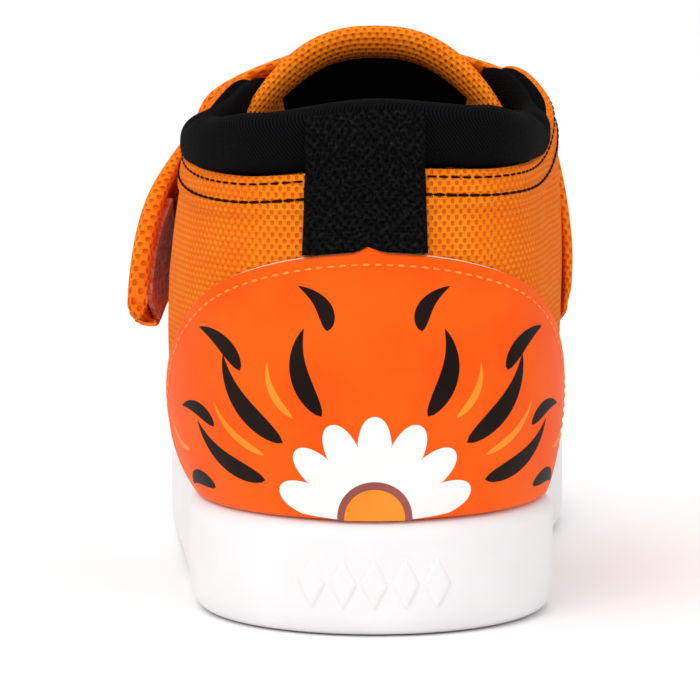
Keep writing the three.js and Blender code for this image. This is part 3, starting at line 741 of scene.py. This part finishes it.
def makeSole():
    s = soleShape
    wall = lastSizes["lipWall"]
    columns = []
    for u in stepsRound(s["columnsPerStep"]):
        section = sectionAt(u)
        flat = section["reach"] - s["treadRound"]
        line = [soleRing(section, section["reach"] - flat * k, treadAt) for k in s["treadRings"]]
        for a in np.linspace(0, math.pi / 2, s["roundRings"]):
            inset, lift = s["treadRound"] * (1 - math.sin(a)), s["roundUp"] * (1 - math.cos(a))
            line.append(soleRing(section, inset, lambda along: treadAt(along) + lift))
        low, lip = line[-1][2], section["lip"]
        for k in s["wallRings"]:
            line.append(soleRing(section, 0, blend(low, blend(low, lip, s["lipRoundFrom"]), k)))
        for a in np.linspace(0, 1, s["lipRings"]) * math.pi / 2:
            share = blend(s["lipRoundFrom"], 1, math.sin(a))
            line.append(soleRing(section, wall * (1 - math.cos(a)), blend(low, lip, share)))
        line += [reachPoint(section, (section["reach"] - wall) * k, floorAt) for k in s["cupRings"]]
        columns.append(line)
    points = np.array(columns).transpose(1, 0, 2)
    uvs = np.stack([alongRows(points), alongColumns(points)], -1)
    sole = gridPiece("cupSole", points, uvs, ["whiteRubber"])
    cutter = treadCutter()
    cut = sole.modifiers.new("tread", "BOOLEAN")
    cut.operation, cut.object, cut.solver = "DIFFERENCE", cutter, "EXACT"
    cut.use_self = True
    bpy.context.view_layer.objects.active = sole
    bpy.ops.object.modifier_apply(modifier=cut.name)
    bpy.data.objects.remove(cutter)
    print("tread cut", len(sole.data.polygons), "faces")
    sole.select_set(True)
    bpy.ops.object.shade_smooth_by_angle(angle=math.radians(s["creaseAngle"]))
    settle(sole, "white_rubber", "cup_sole")


def treadLimits(along):
    limits = [0.0, 0.0]
    for i in range(rowCount * 12):
        for side in (0, 1):
            section = sectionAt((i if side else -i) / 12)
            at = soleRing(section, soleShape["treadMargin"], 0)
            if abs(at[1] + heelHalf - along) < soleLength / 40:
                limits[side] = max(limits[side], abs(at[0]))
    return limits


def treadCutter():
    s = soleShape
    forward = s["grooveForward"]
    start = s["treadMargin"] + s["groovePitch"] / 2
    bars = []
    along = start
    while along < soleLength - start:
        limits = treadLimits(along)
        ends = treadLimits(along - forward * max(limits))
        for side, sign in enumerate((-1, 1)):
            width = min(limits[side], ends[side])
            deep = float(treadAt(along - forward * width)) + s["grooveDepth"]
            middle = Vector((sign * math.cos(forward), -math.sin(forward), 0)) * width / 2
            at = (Vector(place(0, along, 0)) + middle) * millimetre
            bpy.ops.mesh.primitive_cube_add(size=1, location=at, rotation=(0, 0, -sign * forward))
            bar = bpy.context.object
            bar.scale = [size * millimetre for size in (width * s["grooveOver"], s["grooveWidth"], 2 * deep)]
            bars.append(bar)
        along += s["groovePitch"]
    bpy.ops.object.select_all(action="DESELECT")
    for bar in bars:
        bar.select_set(True)
    bpy.context.view_layer.objects.active = bars[0]
    bpy.ops.object.join()
    bpy.ops.object.transform_apply(location=True, rotation=True, scale=True)
    cutter = bpy.context.object
    cutter.select_set(False)
    return cutter


makeSole()
print("cup sole made")

# Low relief on the heel of the sole: a row of soft diamonds
reliefShape = {
    "count": 5,
    "pitch": 4.9,
    "width": 4.4,
    "height": 8.6,
    "up": 8.4,
    "lift": 0.6,
    "sink": 0.1,
    "rows": 25,
    "columns": 17,
}


def makeRelief():
    s = reliefShape
    us = np.linspace(-1.6, 1.6, 129)
    line = [soleRing(sectionAt(u), 0, 0)[0] for u in us]
    for i in range(s["count"]):
        middle = (i - (s["count"] - 1) / 2) * s["pitch"]
        rows = []
        for b in np.linspace(-1, 1, s["rows"]):
            row = []
            for a in np.linspace(-1, 1, s["columns"]):
                across = middle + s["width"] / 2 * (a + b) / 2
                up = s["up"] + s["height"] / 2 * (a - b) / 2
                pillow = ((1 - a**6) * (1 - b**6)) ** 0.5
                section = sectionAt(float(np.interp(across, line, us)))
                row.append(soleRing(section, s["sink"] - s["lift"] * pillow, up))
            rows.append(row)
        diamond = gridPiece(f"heelDiamond{i}", rows, np.array(rows)[..., [0, 2]], ["whiteRubber"])
        settle(diamond, "white_rubber")


makeRelief()
print("relief made")

# Collar: a padded roll on the upper's edge that slips inside it towards the front corners
collarShape = {
    "height": 10.6,
    "thickness": 7.5,
    "at": [0, 1, 1.6, 2.1, 3, 4, 5],
    "heights": [0.97, 0.93, 0.82, 0.6, 0.5, 0.38, 0.3],
    "thicknesses": [1, 1, 0.97, 0.85, 0.3, 0.16, 0.16],
    "inside": [0, 0, 0, 0.06, 0.85, 1, 1],
    "sag": [0, 0.5, 1.2, 1.7, 0.1, 0, 0],
    "bulge": [0, 0.1, 0.3, 0.5, 0.1, 0, 0],
    "creases": [(1.35, 0.5, 0.07), (1.75, 0.35, 0.09), (2.3, 0.25, 0.08)],
    "end": 4.0,
    "columns": 220,
    "around": 40,
    "squareness": 0.8,
    "proud": 0.4,
    "slack": 0.22,
    "slackOnTop": 0.4,
    "deepest": 0.8,
    "caps": (0, 0.6, 0.9),
}


def shareOf(name, u):
    at, values = collarShape["at"], collarShape[name]
    k = min(len(at) - 2, sum(abs(u) >= v for v in at) - 1)
    return blend(values[k], values[k + 1], float(ease((abs(u) - at[k]) / (at[k + 1] - at[k]))))


def rollFrame(u):
    s = collarShape
    top = skinLine(u, [1.0])[0]
    walk = unit((skinLine(u + 0.05, [1.0]) - skinLine(u - 0.05, [1.0]))[0] * [1, 1, 0])
    out = np.array([walk[1], -walk[0], 0])
    height = s["height"] * shareOf("heights", u)
    thick = s["thickness"] * shareOf("thicknesses", u)
    inside = shareOf("inside", u)
    aside = blend(upperShape["bandRise"] + s["proud"], -upperShape["wall"] - gap, inside) - thick / 2
    above = blend(gap + height / 2, -height / 2, inside) - shareOf("sag", u)
    return top + out * (aside + shareOf("bulge", u)) + [0, 0, above], out, height, thick


def rollPoints(u, angles, proud=0.0):
    centre, out, height, thick = rollFrame(u)
    flat, tall = (signedPower(f(angles), collarShape["squareness"])[:, None] for f in (np.cos, np.sin))
    return centre + out * (thick / 2 + proud) * flat + np.array([0, 0, height / 2 + proud]) * tall


def makeCollar():
    s = collarShape
    angles = np.linspace(-math.pi, math.pi, s["around"] + 1)
    inner = np.clip(-np.cos(angles), 0, 1)
    top = np.clip(np.sin(angles), 0, 1)
    rings = []
    for u in np.linspace(-s["end"], s["end"], s["columns"] + 1):
        crease = sum(depth * math.exp(-(((abs(u) - at) / width) ** 2)) for at, depth, width in s["creases"])
        soft = s["slack"] * (math.sin(5.1 * u) * 0.5 + math.sin(2.3 * u + 1))
        ring = rollPoints(u, angles)
        sink = (crease * inner + s["slackOnTop"] * soft * top)[:, None]
        rings.append(ring + unit(rollFrame(u)[0] - ring) * np.minimum(sink, s["deepest"]))
    points = closeEnds(np.stack(rings, 1), s["caps"]).transpose(1, 0, 2)
    uvs = np.stack([alongColumns(points), alongRows(points)], -1)
    collar = gridPiece("paddedCollar", points, uvs, ["knit"])
    settle(collar, "black_knit", "collar")


makeCollar()
print("collar made")

# Printed heel panel, with a pale cut edge and a row of stitches
# The edge's rows give how far in from the outline, and the share of the wall
panelShape = {
    "height": 42.5,
    "reach": 50.0,
    "wall": 1.2,
    "edge": [(0.0, 0.0), (0.0, 0.35), (0.12, 0.78), (0.5, 1.0)],
    "peak": 1.1,
    "peakAside": -0.8,
    "peakWidth": 1.5,
    "turnEnd": 0.995,
    "thinEnd": 0.01,
    "columns": 150,
    "rows": 40,
    "innerRows": 14,
    "creaseAngle": 50,
    "stitchInset": 1.9,
    "stitchTurns": 0.985,
    "thread": (1.8, 1.25, 0.2),
}
panelOut = gap + panelShape["wall"]


def panelTop(distance):
    s = panelShape
    share = abs(distance) / s["reach"]
    peak = s["peak"] * math.exp(-(((distance - s["peakAside"]) / s["peakWidth"]) ** 2))
    return s["height"] * math.sqrt(max(0, 1 - share * share)) + peak


def panelPoint(distance, height, out):
    u = uAtDistance(distance)
    heights = np.atleast_1d(np.asarray(height, float))
    return skin(u, shareAtHeight(u, sectionAt(u)["lip"] + heights), out)


def onPanel(line, out=panelOut):
    return np.array([panelPoint(d, h, out)[0] for d, h in line])


def makePanel():
    s = panelShape
    turns = np.linspace(-1, 1, s["columns"] + 1)
    insets, rises = np.array(s["edge"]).T * [[1], [s["wall"]]]
    columns, uvs = [], []
    for d in s["reach"] * s["turnEnd"] * np.sin(turns * math.pi / 2):
        low, top = 2 * gap, panelTop(d)
        heights = np.concatenate([
            low + insets,
            blend(low + insets[-1], top - insets[-1], np.linspace(0, 1, s["rows"] + 1)[1:-1]),
            top - insets[::-1],
            np.linspace(top, low, s["innerRows"] + 1)[1:],
        ])
        face, back = np.full(s["rows"] - 1, s["wall"]), np.zeros(s["innerRows"])
        thin = min(1.0, (1 - abs(d) / s["reach"]) / s["thinEnd"])
        out = np.concatenate([rises, face, rises[::-1], back]) * thin
        columns.append(panelPoint(d, heights, gap + out))
        uvs.append(np.stack([np.full(len(heights), d), heights], -1))
    points = np.array(columns).transpose(1, 0, 2)
    lastFront = len(points) - len(insets) + 1 - s["innerRows"]
    panel = gridPiece("heelPanel", points, np.array(uvs).transpose(1, 0, 2),
                      ["orangeLeather", "whiteCutEdge"],
                      lambda row, column: ((row < 1) | (row >= lastFront)).astype(int))
    panel.select_set(True)
    bpy.context.view_layer.objects.active = panel
    bpy.ops.object.shade_smooth_by_angle(angle=math.radians(s["creaseAngle"]))
    settle(panel, "printed_leather", "heel_panel")


def panelStitches():
    s = panelShape
    turns = np.linspace(-s["stitchTurns"], s["stitchTurns"], 240) * math.pi / 2
    edge = np.stack([s["reach"] * np.sin(turns), s["height"] * np.cos(turns)], -1)
    tangent = unit(np.gradient(edge, axis=0))
    line = edge + np.stack([tangent[:, 1], -tangent[:, 0]], -1) * s["stitchInset"]
    line = line[line[:, 1] > 1.0]
    lifted = onPanel(line, panelOut + 1)
    stitchRow("panelStitches", onPanel(line), lifted, s["thread"], "amberThread", "printed_leather")


makePanel()
panelStitches()
print("heel panel made")

# The panel's print: half a daisy at the foot of the heel, with two tiers of leaf blades fanned over it
# A leaf has its angle, how far out it starts, its length and its width
printShape = {
    "lift": 0.03,
    "petals": 7,
    "firstPetal": 16,
    "petalLength": 11.5,
    "petalWidth": 5.4,
    "petalLift": 0.12,
    "tip": 0.01,
    "up": 0.7,
    "centre": 5.0,
    "ring": 6.2,
    "spread": 1.12,
    "steps": 22,
    "rows": 7,
    "discRows": 6,
    "discSteps": 41,
}
leafShapes = {
    "lowerBlades": ("printBlack", 14, [(20, 17.5, 14.0, 3.0), (43, 18, 15.5, 3.3), (66, 18.5, 13.5, 3.0)]),
    "upperBlades": (
        "printBlack",
        -9,
        [(9, 27, 8.5, 2.5), (30.5, 28.0, 8.0, 2.3), (52, 30.0, 9.5, 2.7), (79, 31, 7.5, 2.4)],
    ),
    "veins": ("printAmber", 10, [(32, 19, 11.0, 1.2), (55, 20, 9.0, 1.2), (15, 33, 8.0, 1.1)]),
}


def printPiece(name, flats, finishName, level):
    height = panelOut + printShape["lift"] * (1 + level)
    rows = [onPanel(flat, height) for flat in flats]
    settle(gridPiece(name, rows, flats, [finishName]), "printed_leather")


def printBlade(name, spine, widths, finishName, level=0):
    tangent = unit(np.gradient(spine, axis=0))
    side = np.stack([-tangent[:, 1], tangent[:, 0]], -1)
    shares = np.linspace(-1, 1, printShape["rows"])
    printPiece(name, [spine + side * (widths * t)[:, None] for t in shares], finishName, level)


def fan(radius, turn):
    return np.stack([radius * np.cos(turn), radius * np.sin(turn)], -1)


def makePrint():
    s = printShape
    serial = 0
    t = np.linspace(0, 1, s["steps"])
    for group, (finishName, bend, leaves) in leafShapes.items():
        for angle, start, length, width in leaves:
            spine = fan(start + length * t, math.radians(angle) + math.radians(bend) * (t - 0.3) ** 2)
            widths = width / 2 * np.sin(t**0.75 * math.pi).clip(0) ** 0.8 + 2 * s["tip"]
            for sign in (-1, 1):
                serial += 1
                printBlade(f"{group}{serial}", spine * [sign * s["spread"], 1.0], widths, finishName)
    t = np.sin(t * math.pi / 2)
    for i in range(s["petals"]):
        angle = math.radians(blend(s["firstPetal"], 180 - s["firstPetal"], i / (s["petals"] - 1)))
        spine = fan(s["ring"] * 0.8 + s["petalLength"] * t, angle) + [0, s["up"]]
        widths = s["petalWidth"] / 2 * np.sqrt(np.clip(1 - t**5, 0, 1)) * (0.5 + 0.5 * np.clip(t * 1.6, 0, 1))
        printBlade(f"petal{i}", spine, widths + s["tip"], "printWhite", s["petalLift"] * i)
    turns = np.linspace(0, math.pi, s["discSteps"])
    for name, radius, finishName, level in (("daisyRing", s["ring"], "printMauve", 1),
                                            ("daisyCentre", s["centre"], "printAmber", 2)):
        flats = [fan(radius * k, turns) + [0, s["up"]] for k in np.linspace(0.01, 1, s["discRows"])]
        printPiece(name, flats, finishName, level)


makePrint()
print("print made")

# Pull strip: coarse webbing from the panel's peak up over the collar's back
stripShape = {
    "width": 19.4,
    "wall": 1.5,
    "aside": -1.4,
    "columns": 24,
    "steps": 46,
    "flatSteps": 12,
    "bandSteps": 3,
    "stop": 2,
    "halfTurns": [-0.2, -0.12, -0.04, 0.04, 0.11, 0.165],
    "clear": (0.02, 0.05),
    "thinEdge": 0.45,
    "thinOver": 12,
    "softened": 3,
    "caps": (0, 0.8),
}


def stripStrand(across, out):
    s = stripShape
    d = s["aside"] + across
    u = uAtDistance(d)
    low = float(shareAtHeight(u, sectionAt(u)["lip"] + panelTop(d) + gap))
    shares = np.linspace(low, shareBelowTop(u, s["stop"]), s["flatSteps"])
    flat = skin(u, shares, gap + out)
    onBand = skin(u, shares, gap + upperShape["bandRise"] + out)[-s["bandSteps"]:]
    over = rollPoints(u, np.array(s["halfTurns"]) * math.pi, gap + out)
    line = np.concatenate([flat[:-s["bandSteps"]], onBand, over])
    run = runAlong(line)
    soft = sampled(np.linspace(0, 1, s["steps"]) * run[-1], run, line)
    for _ in range(s["softened"]):
        soft[1:-1] = (soft[:-2] + 2 * soft[1:-1] + soft[2:]) / 4
    return soft


def makeStrip():
    s = stripShape
    inside, outside = s["clear"]
    inner, outer = [], []
    for t in np.linspace(-1, 1, s["columns"] + 1):
        across = s["width"] / 2 * t
        inner.append(stripStrand(across, inside))
        thin = min(1.0, (1 - abs(t)) * s["thinOver"] + s["thinEdge"])
        outer.append(stripStrand(across, s["wall"] * thin + outside))
    points = closeEnds(np.array(outer + inner[::-1] + outer[:1]), s["caps"])
    along = alongRows(points)
    across = np.broadcast_to(alongColumns(points)[:, -3:-2], along.shape)
    uvs = np.stack([across, along - along[:, -3:-2]], -1)
    settle(gridPiece("pullStrip", points, uvs, ["webbing"]), "black_webbing", "pull_strip")


makeStrip()
print("pull strip made")

# Tongue: padded arch with a rolled mesh edge and a black lining
# A row's sizes are shares of the sole's length, and of the tongue's height and width
tongueShape = {
    "height": 90.0,
    "width": 44.0,
    "wall": 4.6,
    "edge": 3.9,
    "sideEdge": 4.5,
    "seamRise": 0.5,
    "liningRise": 0.45,
    "round": 2.2,
    "crestRise": 0.13,
    "arch": 2.45,
    "spread": 0.06,
    "spreadFrom": 0.72,
    "lean": (1.1, 0.62, 0.8),
    "rowLength": 6.4,
    "steps": 56,
    "crestSteps": 17,
    "around": 96,
    "squareness": 0.6,
    "fullness": 0.55,
}
tongueNames = ("along", "up", "half", "crown", "wrap", "thick")
tongueRows = np.array([
    (0.71, 0.511, 0.3, 0.05, 0, 0.6),
    (0.665, 0.546, 0.33, 0.07, 0, 0.65),
    (0.625, 0.59, 0.36, 0.11, 0, 0.7),
    (0.58, 0.667, 0.385, 0.14, 0.02, 0.8),
    (0.525, 0.745, 0.41, 0.175, 0.06, 0.9),
    (0.465, 0.867, 0.45, 0.228, 0.12, 1),
    (0.415, 0.96, 0.485, 0.273, 0.18, 1),
    (0.385, 1.008, 0.5, 0.291, 0.2, 1),
])


def tongueRow(k):
    last = len(tongueRows) - 1
    i = int(min(last - 1, max(0, math.floor(k))))
    a, b, c, d = (tongueRows[min(last, max(0, i + j))] for j in (-1, 0, 1, 2))
    slopeB = (c - a) / (2 if i > 0 else 1)
    slopeC = (d - b) / (2 if i < last - 1 else 1)
    return dict(zip(tongueNames, hermite(b, slopeB, c, slopeC, k - i)))


def tonguePoint(row, share, out):
    s = tongueShape
    side = np.asarray(share, float) * 2 - 1
    side = side * (1 + s["spread"] * ease((row["up"] - s["spreadFrom"]) / 0.2) * np.abs(side) ** 3)
    edge = np.abs(side) ** s["arch"]
    across = side * row["half"] * s["width"]
    along = row["along"] * soleLength - row["wrap"] * s["width"] * edge
    up = row["up"] * s["height"] - row["crown"] * s["width"] * edge
    aside, forward, upward = s["lean"]
    lean = unit(np.stack([aside * side, np.full_like(side, forward), np.full_like(side, upward)], -1))
    return place(across, along, up) + lean * np.asarray(out, float)[..., None]


def tongueSection():
    s = tongueShape
    last = len(tongueRows) - 1
    crest = s["round"] / s["rowLength"]
    turns = np.linspace(0, math.pi, s["crestSteps"] + 2)[1:-1]
    straight = np.linspace(0, last - crest, s["steps"])
    over = last - crest + (crest + s["crestRise"]) * np.sin(turns)
    ks = np.concatenate([straight, over, straight[::-1]])
    depths = np.concatenate([np.ones(s["steps"]), np.cos(turns), -np.ones(s["steps"])])
    return ks, depths


def makeTongue():
    s = tongueShape
    last = len(tongueRows) - 1
    ks, depths = tongueSection()
    angles = np.linspace(math.pi, 0, s["around"] + 1)
    flat = signedPower(np.cos(angles), s["squareness"])
    full = np.sin(angles).clip(0) ** s["fullness"]
    rows, lined = [], []
    for k, depth in zip(ks, depths):
        row = tongueRow(k)
        fromSide = row["half"] * s["width"] * (1 - np.abs(flat))
        inward = np.minimum((last - k) * s["rowLength"] - s["edge"], fromSide - s["sideEdge"])
        underneath = depth < -0.9
        seam = s["seamRise"] * np.exp(-((inward / 0.5) ** 2)) + s["liningRise"] * (inward > 0)
        half = s["wall"] * row["thick"] / 2
        rows.append(tonguePoint(row, 0.5 + 0.5 * flat, -half + half * depth * full + seam * underneath))
        lined.append(underneath & (inward > 0))
    points, lined = np.array(rows), np.array(lined)
    across = alongRows(points)[len(ks) // 2]
    along = alongColumns(points)[:, len(angles) // 2]
    tongue = gridPiece("paddedTongue", points, np.stack(np.meshgrid(across, along), -1),
                       ["mesh", "lining"],
                       lambda row, column: lined[row, column] & lined[row + 1, column + 1])
    settle(tongue, "orange_mesh", "tongue")


makeTongue()
print("tongue made")

# Strap: sewn to the inner quarter, over the tongue, its free end standing off the outer quarter
# A row has what it lies on, the share of that, half its width, and the share of the flare that lifts it
strapShape = {
    "width": 29.0,
    "wall": 2.3,
    "slant": 30.0,
    "rest": 0.1,
    "overTongue": 1.0,
    "flare": 3.6,
    "frontFlare": 0.7,
    "skew": 0.22,
    "middle": 0.522,
    "along": 150,
    "across": 13,
    "around": 72,
    "squareness": 0.4,
    "fullness": 0.55,
    "hemInside": 0.5,
    "hemOutside": 0.3,
    "groove": 0.16,
    "rootThin": 0.5,
    "endRound": 1.6,
    "caps": (0, 0.4, 0.7, 0.87, 0.96),
    "stitchInset": 3.8,
    "thread": (2.0, 1.6, 0.19),
    "stitchSteps": 14,
    "stitchFrom": 4,
    "innerStitchFrom": 92,
    "stitchTo": -20,
    "rootAt": 6,
}
strapRows = [
    ("inner", 0.41, 0.47, 0),
    ("inner", 0.45, 0.5, 0),
    ("inner", 0.56, 0.5, 0),
    ("inner", 0.68, 0.5, 0),
    ("inner", 0.81, 0.5, 0.04),
    ("inner", 0.92, 0.5, 0.34),
    ("tongue", 0.72, 0.5, 0.3),
    ("tongue", 0.5, 0.5, 0.25),
    ("tongue", 0.28, 0.5, 0.3),
    ("outer", 0.92, 0.5, 0.34),
    ("outer", 0.81, 0.5, 0.2),
    ("outer", 0.71, 0.5, 0.5),
    ("outer", 0.6, 0.49, 0.95),
    ("outer", 0.515, 0.46, 1.2),
    ("outer", 0.455, 0.405, 1.28),
    ("outer", 0.423, 0.325, 1.3),
    ("outer", 0.403, 0.225, 1.3),
    ("outer", 0.394, 0.12, 1.3),
]
strapSlant = math.radians(strapShape["slant"])
strapWay = np.array([0, math.cos(strapSlant), -math.sin(strapSlant)])
strapMiddle = float(place(0, strapShape["middle"] * soleLength, lastSizes["cornerHeight"]) @ strapWay)


def solve(low, high, above):
    for _ in range(22):
        middle = (low + high) / 2
        if above(middle):
            high = middle
        else:
            low = middle
    return (low + high) / 2


def straightTongueRow(k):
    i = min(len(tongueRows) - 2, int(k))
    return dict(zip(tongueNames, blend(tongueRows[i], tongueRows[i + 1], k - i)))


def strapPoint(row, across, out):
    s = strapShape
    kind, share, half, lift = row
    distance = strapMiddle + across * half * s["width"]
    flare = s["flare"] * blend(1, s["frontFlare"], max(0, across))
    away = gap + s["rest"] + lift * flare + out
    if kind == "tongue":
        def onTongue(k, out):
            return tonguePoint(straightTongueRow(k), np.array([share]), np.array([out]))[0]

        k = solve(0, len(tongueRows) - 1, lambda m: onTongue(m, 0.0) @ strapWay < distance)
        return onTongue(k, away + s["overTongue"])
    squared = s["skew"] * (0.5 if kind == "inner" else 1) * float(ease((0.93 - share) / 0.4))
    share = share - across * half * squared
    sign = 1 if kind == "inner" else -1
    u = solve(1, rowCount - 1.5, lambda m: skinLine(sign * m, [share])[0] @ strapWay > distance) * sign
    return skin(u, [share], away)[0]


def centripetal(points, count):
    points = np.asarray(points)
    ends = [2 * points[0] - points[1], *points, 2 * points[-1] - points[-2]]
    made = []
    for t in np.linspace(0, len(points) - 1, count):
        i = min(len(points) - 2, int(t))
        a, b, c, d = ends[i : i + 4]
        ab, bc, cd = (max(1e-6, np.linalg.norm(y - x)) ** 0.5 for x, y in ((a, b), (b, c), (c, d)))
        slopeB = ((b - a) / ab - (c - a) / (ab + bc) + (c - b) / bc) * bc
        slopeC = ((c - b) / bc - (d - b) / (bc + cd) + (d - c) / cd) * bc
        made.append(hermite(b, slopeB, c, slopeC, t - i))
    return np.array(made)


strapAcross = np.linspace(-1, 1, strapShape["across"])


def strapSheet(out):
    lines = [[strapPoint(row, a, out) for row in strapRows] for a in strapAcross]
    return np.array([centripetal(line, strapShape["along"]) for line in lines])


strapSheets = [strapSheet(0.0), strapSheet(strapShape["wall"])]


def strapAt(across, depth):
    steps = range(strapShape["along"])
    inner, outer = (
        np.stack([sampled(across, strapAcross, sheet[:, j]) for j in steps]) for sheet in strapSheets
    )
    return blend(inner, outer, np.asarray(depth, float)[..., None])


def strapDepth(across, tall):
    s = strapShape
    run = np.linspace(0, 1, s["along"])
    hem = ease((run - 0.6) / 0.15) * ease((abs(across) - 0.7) / 0.2)
    groove = math.exp(-((((1 - abs(across)) * s["width"] / 2 - s["stitchInset"]) / 0.5) ** 2))
    low = -s["hemInside"] * hem
    high = s["rootThin"] + (1 - s["rootThin"]) * ease(run / 0.12) + s["hemOutside"] * hem
    return low + (high - low) * (0.5 + 0.5 * tall) - s["groove"] * np.sign(tall) * groove


def makeStrap():
    s = strapShape
    angles = np.linspace(0, 2 * math.pi, s["around"] + 1)
    flat = signedPower(np.cos(angles), s["squareness"])
    tall = signedPower(np.sin(angles), s["fullness"])
    points = np.array([strapAt(f, strapDepth(f, t)) for f, t in zip(flat, tall)])
    points = closeEnds(points, s["caps"], s["endRound"])
    along = alongRows(points)[len(angles) // 4]
    around = alongColumns(points)[:, points.shape[1] // 2]
    uvs = np.stack(np.meshgrid(along, around)[::-1], -1)
    settle(gridPiece("closureStrap", points, uvs, ["mesh"]), "orange_mesh", "strap")


def strapStitches():
    s = strapShape
    ahead = 1 - 2 * s["stitchInset"] / s["width"]
    overs = np.linspace(-ahead, ahead, s["stitchSteps"])
    fronts, backs = ([strapAt(a, strapDepth(a, tall)) for a in overs] for tall in (1.0, -1.0))

    def roundTheEnd(lines, start):
        stop = s["stitchTo"]
        turn = [line[stop] for line in lines[1:-1]]
        return np.concatenate([lines[0][start:stop], turn, lines[-1][start:stop][::-1]])

    def acrossTheRoot(lines, at):
        return np.array([line[at] for line in lines])

    for name, shape, at, sides in (
        ("strapStitches", roundTheEnd, s["stitchFrom"], (fronts, backs)),
        ("strapInnerStitches", roundTheEnd, s["innerStitchFrom"], (backs, fronts)),
        ("strapRootStitches", acrossTheRoot, s["rootAt"], (fronts, backs)),
    ):
        path, under = (shape(lines, at) for lines in sides)
        stitchRow(name, path, 2 * path - under, s["thread"], "blackThread", "orange_mesh")


makeStrap()
strapStitches()
print("strap made")

# Seams of the upper: two rows of black stitches along the band, each with how far below the top it runs
seamShape = {"rows": [(1.3, (1.9, 1.65, 0.19)), (4.1, (1.95, 2.05, 0.25))], "from": 4.6, "steps": 400}


def bandStitches():
    s = seamShape
    us = np.linspace(-s["from"], s["from"], s["steps"])
    rise = upperShape["bandRise"]
    for i, (below, thread) in enumerate(s["rows"]):
        path, lifted = (
            np.array([skin(u, [shareBelowTop(u, below)], out)[0] for u in us]) for out in (rise, rise + 1)
        )
        stitchRow(f"bandStitches{i}", path, lifted, thread, "blackThread", "orange_mesh")


bandStitches()
print("stitches made")

# The small solids that stay get their own finish
for nodeName, finishName in (("insole", "insoleCloth"), ("hook_pad", "hookTape"), ("loop_pad", "hookTape")):
    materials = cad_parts[nodeName].data.materials
    materials.clear()
    materials.append(finishes[finishName])
